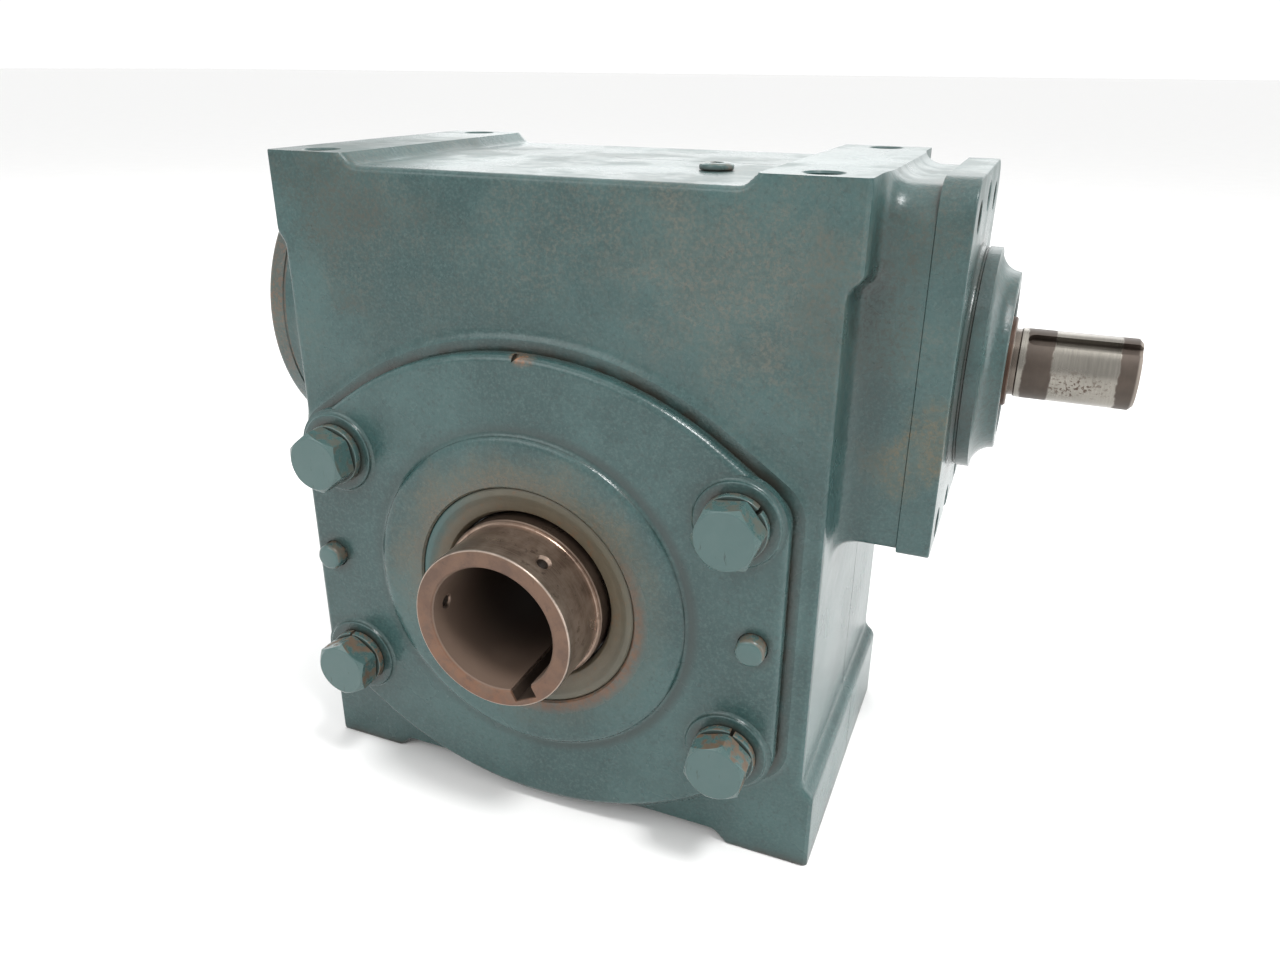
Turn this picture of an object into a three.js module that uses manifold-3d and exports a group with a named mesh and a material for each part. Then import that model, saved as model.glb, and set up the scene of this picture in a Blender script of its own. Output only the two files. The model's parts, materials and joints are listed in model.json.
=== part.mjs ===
// Right-angle worm gearbox with a hollow output shaft. Millimetres, Z up.
// X runs along the input shaft, Y along the output shaft, with the bolted cover on the -Y side.
// The frame's origin lies on the floor, under the middle of the whole gearbox.
import * as THREE from "three";
import { mergeVertices } from "three/addons/utils/BufferGeometryUtils.js";
import Module from "manifold-3d";

const wasm = await Module();
wasm.setup();
const radians = THREE.MathUtils.degToRad;

// ---- Driving dimensions. Places are measured from the output axis, at the housing's middle ----
const CENTRE_DISTANCE = 88.9; // from the output axis up to the worm axis
const GAP = 0.3; // clearance left between any two pieces
const SPARE = 1; // how far joined solids run into each other, and a cutter past the face it opens
const FAR = 200; // beyond every face of the gearbox

const BODY = { left: -99.4, right: 105.8, halfDepth: 62.9 };
const FEET = { left: -102.4, right: 110.2, top: 152.4, bottom: -95.25, height: 4, slope: 4 };
const FOOT_INNER = { left: -66, right: 73 }; // where the raised feet end, above and below
const FOOT_SHANK = { top: 120, bottom: -60 }; // where the feet end on the two sides
const FOOT_HOLES = { x: [-85.7, 94.2], y: [-52.9, 52.9], radius: 6, depth: 18 };

const COVER = { halfWidth: 96, arc: 125, cornerZ: 51.2, crownZ: 120, cornerRadius: 12 };
const COVER_Y = { housing: -64.2, back: -65.3, face: -70.8, boltSeat: -72.4, boss: -73.1 };
const PAD_RIM = 2.5; // how far the housing's pad stands out round the cover
const BOSS_RADIUS = 62.5;
const PILOT_RADIUS = 78.5; // the opening that the worm wheel passes through
const COVER_HUB = { pilotEnd: -60, radius: 58, end: -44, core: 40 }; // carries the front bearing
const COVER_BOLTS = [
  { name: "upper_left", x: -79, z: 44.9, turn: 40 },
  { name: "upper_right", x: 79, z: 44.9, turn: 8 },
  { name: "lower_left", x: -79, z: -44.9, turn: 25 },
  { name: "lower_right", x: 79, z: -44.9, turn: 18 },
];
const BOLT = {
  shank: 7, acrossFlats: 20.6, head: 9.3, washer: 3.3, washerRadius: 11.6, seat: 15.1, tip: -44,
};
const LOCK_SPLIT = { width: 1, slant: 20 }; // the slot through a lock washer, in mm and degrees
const DOWEL = { x: 86.5, radius: 5.2, from: -76, to: -52 };

const SHAFT = { end: 96.7, outside: 30.7, journal: 32.3, seat: 35, bore: 23.8 };
const SHAFT_STEP = { outside: 75, shoulder: 43.4 }; // where its diameter changes, either side
const BORE_KEYWAY = { angle: -63, width: 9.5, top: 28.2 };
const SET_SCREW_HOLES = { angles: [57, 177], y: -87.3, radius: 2.1 };
const SHAFT_CORE = 15; // where the cutters of the keyway and the holes start, inside the bore

const OUTPUT_BEARING = { inner: 32.6, outer: 50, width: 18, middle: 52.7, rollers: 11, segments: 30 };
const OUTPUT_SEAL = { outer: 43.3, window: 34.2, lip: 32.7, face: 72.7, back: 63 };
const OUTPUT_BORE = { from: 40, shoulder: 62, to: 75 }; // the seat of the bearing, then of the seal

const TEETH = 30;
const AXIAL_PITCH = 14.64;
const WORM_RADIUS = CENTRE_DISTANCE - (TEETH * AXIAL_PITCH) / (2 * Math.PI); // pitch radius
const MODULE = AXIAL_PITCH / Math.PI;
const PRESSURE_ANGLE = radians(20);
const FLANK_CLEARANCE = 0.3; // taken off each flank of a thread or tooth
const THREAD = {
  root: 13.4, crest: WORM_RADIUS + MODULE, turns: 4.25, stepsPerTurn: 16, runOut: 6, taper: 4,
};
const WHEEL = { halfWidth: 11, outer: 76, bore: 52.3, slices: 2, tipClearance: 0.9 };
const HUB = { halfLength: 43.1, outer: 41, webRadius: 52, webHalfWidth: 10 };
const WHEEL_KEY = { width: 10, from: 31.4, to: 39, halfLength: 20 };

const NECK = { to: 126, halfWidth: 45, bottom: -56.5, top: 60, corner: 12, foot: 3, bore: 40 };
const FLANGE = {
  from: 126.3, to: 137.1, halfWidth: 45.2, bottom: -57.9, top: 62.6, corner: 12, foot: 3,
};
const SPIGOT_END = 112; // how far the input flange reaches into the neck
const HUB_CAP = { radius: 37.4, nose: 29.8, step: 143.7, face: 150.7, sweepSteps: 4 };
const FLANGE_BORE = { bearing: 133, neck: 20, core: 12, wall: 130, wallRadius: 25, seal: 140.5 };
const HUB_GROOVE = { from: 138.8, to: 139.8, depth: 0.8 };
const FLANGE_HOLES = { y: 29.5, z: 50.5, middleZ: 53.5, tapRadius: 4.9, tapDepth: 9 };
const CAP_SCREW = { head: 4.75, headLength: 6, shank: 3.1, socket: 2.7, socketDepth: 3.5 };
const COUNTERBORE = { radius: 5.1, depth: 7.5 };
const FLANGE_SCREWS = { length: 18, holeEnd: 108 };

const WORM_BEARING = { inner: 15.3, outer: 31, width: 16.2, rollers: 8, segments: 24 };
const WORM_JOURNAL = { radius: 15, shoulder: 17.5, left: -89.2, right: 116.2, leftEnd: -103.5 };
const INPUT_SEAL = { outer: 24, lip: 15.3, window: 18, from: 141, to: 149.9 };
const INPUT_SHAFT = { radius: 11.7, from: 152, to: 190.7, chamfer: 1.2 };
const SHAFT_KEYWAY = { angle: 122.5, width: 4.76, floor: 9.3, from: 158.5 };

const END_BOSS = { radius: 57.7, face: -107.5 };
const END_CAP = {
  from: -108.6, to: -116.3, chamfer: 1.5, spigot: 30.8, spigotTo: -106, recess: 24, gasketBore: 33,
};
const END_SCREWS = { circle: 45, count: 4, headLength: 4.2, length: 15.8, depth: 4.8, holeEnd: -93 };

const CHAMBER_REAR = 46; // inner face of the housing's rear wall
const WORM_TUNNEL = { radius: 36, from: -84, to: 108, leftRadius: 26 };
const VENT_PLUG = {
  x: 50.5, y: -19.5, radius: 5.9, head: 2.5, shank: 4.4, length: 14, vent: 1.2, holeEnd: 110,
};
const PIPE_PLUG = { radius: 6.2, from: 50, to: 62.3, socket: 3, socketDepth: 6, holeEnd: 40 };
const PIPE_PLUG_CIRCLE = 70.8;

// The whole gearbox runs from the end cap to the tip of the input shaft.
const OUTPUT_X = -(END_CAP.to + INPUT_SHAFT.to) / 2;

// ---- Finishes ----
const finish = (color, roughness, metalness) =>
  new THREE.MeshStandardMaterial({ color, roughness, metalness, flatShading: true });
const PAINT = finish(0x4f706c, 0.45, 0.1);
const RUSTY_STEEL = finish(0x6a5146, 0.6, 0.6);
const BRIGHT_STEEL = finish(0x9a9892, 0.35, 0.9);
const BEARING_STEEL = finish(0x8d9094, 0.3, 0.9);
const BRONZE = finish(0xa98245, 0.4, 0.8);
const CAST_IRON = finish(0x55585a, 0.7, 0.5);
const RUBBER = finish(0x24211e, 0.8, 0);
const GASKET = finish(0x7d6f58, 0.9, 0);

// ---- Solids: joining and cutting ----
function solid(geometry) {
  const bare = geometry.clone();
  bare.deleteAttribute("normal");
  bare.deleteAttribute("uv");
  const merged = mergeVertices(bare, 1e-3);
  const corners = merged.index.array;
  const kept = [];
  for (let i = 0; i < corners.length; i += 3) {
    const [a, b, c] = corners.subarray(i, i + 3);
    if (a !== b && b !== c && c !== a) kept.push(a, b, c);
  }
  const vertProperties = merged.attributes.position.array;
  return new wasm.Manifold(
    new wasm.Mesh({ numProp: 3, vertProperties, triVerts: new Uint32Array(kept) }),
  );
}

function geometryOf(manifold) {
  const mesh = manifold.getMesh();
  const geometry = new THREE.BufferGeometry();
  geometry.setAttribute("position", new THREE.BufferAttribute(mesh.vertProperties, 3));
  geometry.setIndex(new THREE.BufferAttribute(mesh.triVerts, 1));
  return geometry;
}

const join = (first, ...rest) =>
  geometryOf(rest.reduce((whole, piece) => whole.add(solid(piece)), solid(first)));
const cut = (first, ...tools) =>
  geometryOf(tools.reduce((whole, tool) => whole.subtract(solid(tool)), solid(first)));

// ---- Shapes ----
// A ring or stepped cylinder round the Y axis, from [y, radius] points.
function turned(profile, segments = 36) {
  const points = profile.map(([y, radius]) => new THREE.Vector2(radius, y));
  if (THREE.ShapeUtils.area(points) < 0) points.reverse();
  if (points[0].x > 0 || points.at(-1).x > 0) points.push(points[0].clone());
  return new THREE.LatheGeometry(points, segments);
}

const turnedX = (profile, segments) => turned(profile, segments).rotateZ(-Math.PI / 2);

// Plain cylinders along each axis, from one face to the other.
const pinY = (x, z, radius, from, to, segments = 16) =>
  new THREE.CylinderGeometry(radius, radius, to - from, segments).translate(x, (from + to) / 2, z);
const pinX = (y, z, radius, from, to, segments = 16) =>
  new THREE.CylinderGeometry(radius, radius, to - from, segments)
    .rotateZ(-Math.PI / 2)
    .translate((from + to) / 2, y, z);
const pinZ = (x, y, radius, from, to, segments = 14) =>
  new THREE.CylinderGeometry(radius, radius, to - from, segments)
    .rotateX(Math.PI / 2)
    .translate(x, y, (from + to) / 2);

// A closed outline through [x, y, radius] corners, taken anticlockwise, each rounded by its radius.
function filleted(corners) {
  const at = (i) => new THREE.Vector2(...corners.at(i % corners.length));
  const points = corners.flatMap(([, , radius = 0], i) => {
    const corner = at(i);
    if (!radius) return [corner];
    const back = at(i - 1).sub(corner).normalize();
    const on = at(i + 1).sub(corner).normalize();
    const half = Math.acos(back.dot(on)) / 2;
    const middle = back.clone().add(on).normalize();
    const centre = corner.clone().addScaledVector(middle, radius / Math.sin(half));
    const start = corner.clone().addScaledVector(back, radius / Math.tan(half)).sub(centre);
    const end = corner.clone().addScaledVector(on, radius / Math.tan(half)).sub(centre);
    const steps = Math.max(2, Math.ceil(((Math.PI - 2 * half) * Math.sqrt(radius)) / 0.9));
    const arc = new THREE.ArcCurve(
      centre.x, centre.y, radius, start.angle(), end.angle(), back.cross(on) > 0,
    );
    return arc.getPoints(steps);
  });
  return new THREE.Shape(points);
}

// An XZ outline carried along Y, and a YZ outline carried along X.
const slabY = (shape, from, to) =>
  new THREE.ExtrudeGeometry(shape, { depth: to - from, bevelEnabled: false, curveSegments: 16 })
    .rotateX(Math.PI / 2)
    .translate(0, to, 0);
const slabX = (shape, from, to) =>
  new THREE.ExtrudeGeometry(shape, { depth: to - from, bevelEnabled: false, curveSegments: 16 })
    .applyMatrix4(
      new THREE.Matrix4().makeBasis(
        new THREE.Vector3(0, 1, 0), new THREE.Vector3(0, 0, 1), new THREE.Vector3(1, 0, 0),
      ),
    )
    .translate(from, 0, 0);

// A box given by its two opposite corners.
function block([x0, y0, z0], [x1, y1, z1]) {
  return new THREE.BoxGeometry(x1 - x0, y1 - y0, z1 - z0)
    .translate((x0 + x1) / 2, (y0 + y1) / 2, (z0 + z1) / 2);
}

// An upright rectangle with its top and bottom corners rounded.
const roundedRectangle = ({ halfWidth, bottom, top, corner, foot }) =>
  filleted([
    [halfWidth, bottom, foot], [halfWidth, top, corner],
    [-halfWidth, top, corner], [-halfWidth, bottom, foot],
  ]);

const onWormAxis = (geometry) => geometry.translate(0, 0, CENTRE_DISTANCE);

// ---- Housing ----
function bodyOutline() {
  const { left, right, top, bottom, height, slope } = FEET;
  const inner = FOOT_INNER;
  const shank = FOOT_SHANK;
  return filleted([
    [right, bottom], [right, shank.bottom - slope], [BODY.right, shank.bottom],
    [BODY.right, shank.top], [right, shank.top + slope], [right, top],
    [inner.right + slope, top], [inner.right, top - height],
    [inner.left, top - height], [inner.left - slope, top],
    [left, top], [left, shank.top + slope], [BODY.left, shank.top],
    [BODY.left, shank.bottom], [left, shank.bottom - slope], [left, bottom],
    [inner.left - slope, bottom], [inner.left, bottom + height],
    [inner.right, bottom + height], [inner.right + slope, bottom],
  ]);
}

// The cover's outline moved outwards by a rim: a wide arc above and below, and two upright sides.
function coverOutline(rim) {
  const { halfWidth, cornerZ, crownZ } = COVER;
  const normal = new THREE.Vector2(crownZ - cornerZ, halfWidth).normalize(); // of the slope
  const reach = normal.x * halfWidth + normal.y * cornerZ + rim;
  const side = halfWidth + rim;
  const corner = (reach - normal.x * side) / normal.y;
  const crown = reach / normal.y;
  const [small, large] = [COVER.cornerRadius + rim, COVER.arc + rim];
  return filleted([
    [side, -corner, small], [side, corner, small], [0, crown, large],
    [-side, corner, small], [-side, -corner, small], [0, -crown, large],
  ]);
}

// The stepped hole that an output bearing and its seal sit in, towards +Y or -Y by its sign.
function bearingBore(sign) {
  const [from, shoulder, to] = Object.values(OUTPUT_BORE).map((y) => sign * y);
  const [bearing, seal] = [OUTPUT_BEARING.outer + GAP, OUTPUT_SEAL.outer + GAP];
  return turned([[from, 0], [from, bearing], [shoulder, bearing], [shoulder, seal], [to, seal], [to, 0]]);
}

const pipePlugPlaces = { drain_plug: [0, -PIPE_PLUG_CIRCLE], level_plug: [-PIPE_PLUG_CIRCLE, 0] };

function housing() {
  const wall = BODY.halfDepth;
  // The pad under the cover stops short of the feet, above the floor.
  const pad = solid(slabY(coverOutline(PAD_RIM), COVER_Y.housing, SPARE - wall)).intersect(
    solid(block([-FAR, -FAR, FEET.bottom + FEET.height], [FAR, FAR, FEET.top])),
  );
  const outside = join(
    slabY(bodyOutline(), -wall, wall),
    geometryOf(pad),
    pinY(0, 0, BOSS_RADIUS, wall - SPARE, -COVER_Y.boss, 36),
    onWormAxis(slabX(roundedRectangle(NECK), BODY.right - SPARE, NECK.to)),
    pinX(0, CENTRE_DISTANCE, END_BOSS.radius, END_BOSS.face, BODY.left + SPARE, 36),
  );
  const footHoles = FOOT_HOLES.x.flatMap((x) =>
    FOOT_HOLES.y.flatMap((y) => [
      pinZ(x, y, FOOT_HOLES.radius, FEET.top - FOOT_HOLES.depth, FEET.top + SPARE),
      pinZ(x, y, FOOT_HOLES.radius, FEET.bottom - SPARE, FEET.bottom + FOOT_HOLES.depth),
    ]),
  );
  return cut(
    outside,
    pinY(0, 0, PILOT_RADIUS, COVER_Y.back, CHAMBER_REAR, 36),
    bearingBore(1),
    pinX(0, CENTRE_DISTANCE, WORM_TUNNEL.radius, WORM_TUNNEL.from, WORM_TUNNEL.to, 24),
    pinX(0, CENTRE_DISTANCE, NECK.bore, WORM_TUNNEL.to - SPARE, NECK.to + SPARE, 28),
    pinX(0, CENTRE_DISTANCE, WORM_BEARING.outer + GAP, END_CAP.from, WORM_JOURNAL.left, 28),
    pinX(
      0, CENTRE_DISTANCE, WORM_TUNNEL.leftRadius,
      WORM_JOURNAL.left - SPARE, WORM_TUNNEL.from + SPARE, 20,
    ),
    ...footHoles,
    ...coverFastenings(COVER_Y.back, BOLT.tip + 2 * SPARE, DOWEL.to + SPARE),
    ...flangeCorners().map(([y, z]) =>
      pinX(y, z, CAP_SCREW.shank + GAP, FLANGE_SCREWS.holeEnd, FLANGE.from, 8),
    ),
    ...endScrewPlaces().map(([y, z]) =>
      pinX(y, z, CAP_SCREW.shank + GAP, END_CAP.from, END_SCREWS.holeEnd, 8),
    ),
    pinZ(VENT_PLUG.x, VENT_PLUG.y, VENT_PLUG.shank + GAP, VENT_PLUG.holeEnd, FEET.top, 10),
    ...Object.values(pipePlugPlaces).map(([x, z]) =>
      pinY(x, z, PIPE_PLUG.radius + GAP, PIPE_PLUG.holeEnd, BODY.halfDepth + SPARE, 12),
    ),
  );
}

// ---- Cover with its gasket, bolts, lock washers and dowels ----
// The holes for the cover's bolts and dowels, each with where it ends.
const coverFastenings = (from, boltTo, dowelTo) => [
  ...COVER_BOLTS.map(({ x, z }) => pinY(x, z, BOLT.shank + GAP, from, boltTo, 12)),
  ...[-1, 1].map((side) => pinY(side * DOWEL.x, 0, DOWEL.radius + GAP, from, dowelTo, 12)),
];

function frontCover() {
  const { back, face, boltSeat, boss } = COVER_Y;
  const { pilotEnd, radius, end, core } = COVER_HUB;
  const hub = turned([
    [boss, core], [boss, BOSS_RADIUS], [face + SPARE, BOSS_RADIUS],
    [back - SPARE, PILOT_RADIUS - GAP], [pilotEnd, PILOT_RADIUS - GAP], [pilotEnd, radius],
    [end, radius], [end, core],
  ]);
  const plate = join(
    slabY(coverOutline(0), face, back),
    hub,
    ...COVER_BOLTS.map(({ x, z }) => pinY(x, z, BOLT.seat, boltSeat, back - SPARE, 20)),
  );
  const [front, behind] = [boss - SPARE, back + SPARE];
  return cut(plate, bearingBore(-1), ...coverFastenings(front, behind, behind));
}

function coverGasket() {
  const [from, to] = [COVER_Y.back + GAP, COVER_Y.housing - GAP];
  return cut(
    slabY(coverOutline(-SPARE), from, to),
    pinY(0, 0, PILOT_RADIUS, from - SPARE, to + SPARE, 36),
    ...coverFastenings(from - SPARE, to + SPARE, to + SPARE),
  );
}

function coverBolt(turn) {
  const underHead = COVER_Y.boltSeat - BOLT.washer - 2 * GAP;
  const across = BOLT.acrossFlats / Math.sqrt(3);
  const head = new THREE.CylinderGeometry(across, across, BOLT.head, 6)
    .rotateY(radians(90 - turn))
    .translate(0, underHead - BOLT.head / 2, 0);
  return join(head, pinY(0, 0, BOLT.shank, underHead - SPARE, BOLT.tip, 12));
}

function lockWasher() {
  const [from, to] = [COVER_Y.boltSeat - BOLT.washer - GAP, COVER_Y.boltSeat - GAP];
  const ring = turned([
    [from, BOLT.shank + GAP], [from, BOLT.washerRadius],
    [to, BOLT.washerRadius], [to, BOLT.shank + GAP],
  ], 18);
  const { width, slant } = LOCK_SPLIT;
  const split = new THREE.BoxGeometry(2 * BOLT.seat, 2 * BOLT.washer, width)
    .translate(BOLT.seat, 0, 0)
    .rotateX(radians(slant))
    .translate(0, (from + to) / 2, 0);
  return cut(ring, split);
}

const dowelPin = () =>
  turned([
    [DOWEL.from, 0], [DOWEL.from, DOWEL.radius - SPARE], [DOWEL.from + SPARE, DOWEL.radius],
    [DOWEL.to, DOWEL.radius], [DOWEL.to, 0],
  ], 12);

// ---- Bearings and seals, round the Y axis ----
// A tapered roller bearing centred on the origin, its rollers' large ends towards +Y.
function taperedBearing({ inner, outer, width, rollers, segments }) {
  const pitch = (inner + outer) / 2;
  const roller = (outer - inner) * 0.2;
  const tilt = radians(12);
  const half = width / 2;
  const rollerHalf = width * 0.36;
  const path = (y) => pitch + y * Math.tan(tilt);
  const race = (roller + GAP) / Math.cos(tilt);
  const cup = turned([
    [-half, path(-half) + race], [-half, outer], [half, outer], [half, path(half) + race],
  ], segments);
  const rib = rollerHalf + 1;
  const cone = turned([
    [-half, inner], [-half, path(-half) - race], [rib, path(rib) - race],
    [rib, path(rib) - 0.4 * race], [half, path(half) - 0.4 * race], [half, inner],
  ], segments);
  const cageHalf = rollerHalf - 0.6;
  const cage = turned([
    [-cageHalf, path(-cageHalf) - 0.8], [-cageHalf, path(-cageHalf) + 0.8],
    [cageHalf, path(cageHalf) + 0.8], [cageHalf, path(cageHalf) - 0.8],
  ], segments);
  const spread = Array.from({ length: rollers }, (_, i) =>
    new THREE.CylinderGeometry(roller, roller * 0.94, 2 * rollerHalf, 6)
      .rotateZ(-tilt)
      .translate(pitch, 0, 0)
      .rotateY((2 * Math.PI * i) / rollers),
  );
  return { cup, cone, rollers: join(cage, ...spread) };
}

// A lip seal: a metal case whose face has a window round the shaft, and a lip set back inside.
const lipSeal = ({ outer, window, lip }, face, back) =>
  turned([
    [face, window], [face, outer], [back, outer], [back, window + 1],
    [back * 0.75 + face * 0.25, lip], [back * 0.5 + face * 0.5, lip],
    [back * 0.35 + face * 0.65, window - 0.8],
  ], 30);

// ---- Output shaft and worm wheel ----
function outputShaft() {
  const { end, outside, journal, seat, bore } = SHAFT;
  const { outside: step, shoulder } = SHAFT_STEP;
  const body = turned([
    [-end, bore], [-end, outside], [-step, outside], [-step, journal], [-shoulder, journal],
    [-shoulder, seat], [shoulder, seat], [shoulder, journal], [step, journal],
    [step, outside], [end, outside], [end, bore],
  ]);
  const halfKey = BORE_KEYWAY.width / 2;
  const keyway = block([SHAFT_CORE, -FAR, -halfKey], [BORE_KEYWAY.top, FAR, halfKey])
    .rotateY(radians(-BORE_KEYWAY.angle));
  const screwHoles = SET_SCREW_HOLES.angles.map((angle) =>
    pinX(0, 0, SET_SCREW_HOLES.radius, SHAFT_CORE, seat, 10)
      .rotateY(radians(-angle))
      .translate(0, SET_SCREW_HOLES.y, 0),
  );
  return cut(body, keyway, ...screwHoles, keySolid(GAP));
}

const keySolid = (room) =>
  block(
    [-WHEEL_KEY.width / 2 - room, -WHEEL_KEY.halfLength - room, WHEEL_KEY.from - room],
    [WHEEL_KEY.width / 2 + room, WHEEL_KEY.halfLength + room, WHEEL_KEY.to + room],
  );

function wheelHub() {
  const { halfLength, outer, webRadius, webHalfWidth } = HUB;
  const bore = SHAFT.seat + GAP;
  const body = turned([
    [-halfLength, bore], [-halfLength, outer], [-webHalfWidth, outer],
    [-webHalfWidth, webRadius], [webHalfWidth, webRadius], [webHalfWidth, outer],
    [halfLength, outer], [halfLength, bore],
  ]);
  return cut(body, keySolid(GAP));
}

// Half the angle of a tooth at a radius: an involute on the wheel's base circle.
function toothHalfAngle(radius) {
  const pitchRadius = CENTRE_DISTANCE - WORM_RADIUS;
  const base = pitchRadius * Math.cos(PRESSURE_ANGLE);
  const involute = (angle) => Math.tan(angle) - angle;
  const pressure = Math.acos(Math.min(1, base / radius));
  const atPitch = (AXIAL_PITCH / 4 - FLANK_CLEARANCE) / pitchRadius;
  return atPitch + involute(PRESSURE_ANGLE) - involute(pressure);
}

// The bronze rim. Its teeth are drawn with their height as a radius of 2 to 3, then each slice across
// the width is drawn in to the worm: the throat follows the worm's round, and the teeth its helix.
function wormWheel() {
  const toothAngle = (2 * Math.PI) / TEETH;
  const outline = [];
  for (let tooth = 0; tooth < TEETH; tooth++)
    for (const [side, height] of [[-1, 0], [-1, 0.5], [-1, 1], [1, 1], [1, 0.5], [1, 0]]) {
      const angle = (tooth + side * 0.25) * toothAngle;
      outline.push(
        new THREE.Vector2(Math.cos(angle), Math.sin(angle)).multiplyScalar(2 + height),
      );
    }
  const shape = new THREE.Shape(outline);
  shape.holes.push(new THREE.Path().absarc(0, 0, 1, 0, 2 * Math.PI, true));
  const rim = new THREE.ExtrudeGeometry(shape, {
    depth: 2 * WHEEL.halfWidth, steps: WHEEL.slices, bevelEnabled: false, curveSegments: 20,
  });
  const place = rim.attributes.position;
  for (let i = 0; i < place.count; i++) {
    const drawn = new THREE.Vector2(place.getX(i), place.getY(i));
    const y = place.getZ(i) - WHEEL.halfWidth;
    const height = drawn.length() - 2;
    let radius = WHEEL.bore;
    let angle = drawn.angle();
    if (height > -0.5) {
      const depthBelowWorm = (r) => CENTRE_DISTANCE - Math.sqrt(r * r - y * y);
      const root = depthBelowWorm(THREAD.crest + WHEEL.tipClearance);
      const tip = Math.min(WHEEL.outer, depthBelowWorm(THREAD.root + WHEEL.tipClearance));
      radius = root + height * (tip - root);
      const tooth = Math.round(angle / toothAngle);
      const side = Math.sign(angle - tooth * toothAngle);
      const helix = (AXIAL_PITCH * Math.asin(y / WORM_RADIUS)) / (2 * Math.PI);
      angle = (tooth - 0.25) * toothAngle + side * toothHalfAngle(radius)
        + helix / (CENTRE_DISTANCE - WORM_RADIUS);
    }
    place.setXYZ(i, radius * Math.cos(angle), y, -radius * Math.sin(angle));
  }
  return rim;
}

// ---- Worm ----
// A straight trapezoid bar wound round the shaft as a right-hand thread.
function wormThread() {
  const { root, crest, turns, stepsPerTurn } = THREAD;
  const bar = new THREE.BoxGeometry(turns, 1, 1, turns * stepsPerTurn, 1, 1);
  const place = bar.attributes.position;
  for (let i = 0; i < place.count; i++) {
    const along = place.getX(i);
    const radius = place.getY(i) > 0 ? crest : root - 1;
    const half = AXIAL_PITCH / 4 - FLANK_CLEARANCE
      - (radius - WORM_RADIUS) * Math.tan(PRESSURE_ANGLE);
    const angle = 2 * Math.PI * along;
    place.setXYZ(
      i,
      along * AXIAL_PITCH - 2 * place.getZ(i) * half,
      radius * Math.cos(angle),
      radius * Math.sin(angle),
    );
  }
  return bar;
}

function wormShaft() {
  const { radius, shoulder, left, right, leftEnd } = WORM_JOURNAL;
  const threadEnd = (THREAD.turns * AXIAL_PITCH) / 2 + THREAD.runOut;
  const core = turnedX([
    [leftEnd, 0], [leftEnd, radius], [left, radius], [left, shoulder],
    [-threadEnd - THREAD.taper, shoulder], [-threadEnd, THREAD.root], [threadEnd, THREAD.root],
    [threadEnd + THREAD.taper, shoulder], [right, shoulder], [right, radius],
    [INPUT_SHAFT.from, radius], [INPUT_SHAFT.from, INPUT_SHAFT.radius],
    [INPUT_SHAFT.to - INPUT_SHAFT.chamfer, INPUT_SHAFT.radius],
    [INPUT_SHAFT.to, INPUT_SHAFT.radius - INPUT_SHAFT.chamfer], [INPUT_SHAFT.to, 0],
  ], 24);
  const halfKey = SHAFT_KEYWAY.width / 2;
  const keyway = join(
    block([SHAFT_KEYWAY.from, SHAFT_KEYWAY.floor, -halfKey], [FAR, radius, halfKey]),
    pinY(SHAFT_KEYWAY.from, 0, halfKey, SHAFT_KEYWAY.floor, radius, 8),
  ).rotateX(radians(SHAFT_KEYWAY.angle));
  return cut(join(core, wormThread()), keyway);
}

// ---- Input flange with its screws ----
const flangeCorners = () =>
  [-1, 1].flatMap((y) =>
    [-1, 1].map((z) => [y * FLANGE_HOLES.y, CENTRE_DISTANCE + z * FLANGE_HOLES.z]),
  );

function inputFlange() {
  const { radius, nose, step, face } = HUB_CAP;
  const { bearing, neck, core, wall, wallRadius, seal } = FLANGE_BORE;
  const sweep = Array.from({ length: HUB_CAP.sweepSteps + 1 }, (_, i) => {
    const angle = (i / HUB_CAP.sweepSteps) * (Math.PI / 2);
    return [face - (face - step) * Math.cos(angle), radius - (radius - nose) * Math.sin(angle)];
  });
  const cap = turnedX([
    [SPIGOT_END, wallRadius], [SPIGOT_END, NECK.bore - GAP],
    [FLANGE.to - SPARE, NECK.bore - GAP], [FLANGE.to - SPARE, radius],
    [HUB_GROOVE.from, radius], [HUB_GROOVE.from, radius - HUB_GROOVE.depth],
    [HUB_GROOVE.to, radius - HUB_GROOVE.depth], [HUB_GROOVE.to, radius],
    ...sweep, [face, core], [wall, core], [wall, wallRadius],
  ]);
  const plate = slabX(roundedRectangle(FLANGE), FLANGE.from, FLANGE.to);
  const [bearingHole, sealHole] = [WORM_BEARING.outer + GAP, INPUT_SEAL.outer + GAP];
  const bores = turnedX([
    [SPIGOT_END - SPARE, 0], [SPIGOT_END - SPARE, bearingHole], [bearing, bearingHole],
    [bearing, neck], [seal, neck], [seal, sealHole], [face + SPARE, sealHole], [face + SPARE, 0],
  ]);
  return cut(
    onWormAxis(join(plate, cap)),
    onWormAxis(bores),
    ...flangeCorners().flatMap(([y, z]) => [
      pinX(y, z, CAP_SCREW.shank + GAP, FLANGE.from - SPARE, FLANGE.to + SPARE, 8),
      pinX(y, z, COUNTERBORE.radius, FLANGE.to - COUNTERBORE.depth, FLANGE.to + SPARE, 14),
    ]),
    ...[-1, 1].map((side) =>
      pinX(
        0, CENTRE_DISTANCE + side * FLANGE_HOLES.middleZ, FLANGE_HOLES.tapRadius,
        FLANGE.to - FLANGE_HOLES.tapDepth, FLANGE.to + SPARE, 14,
      ),
    ),
  );
}

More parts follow.
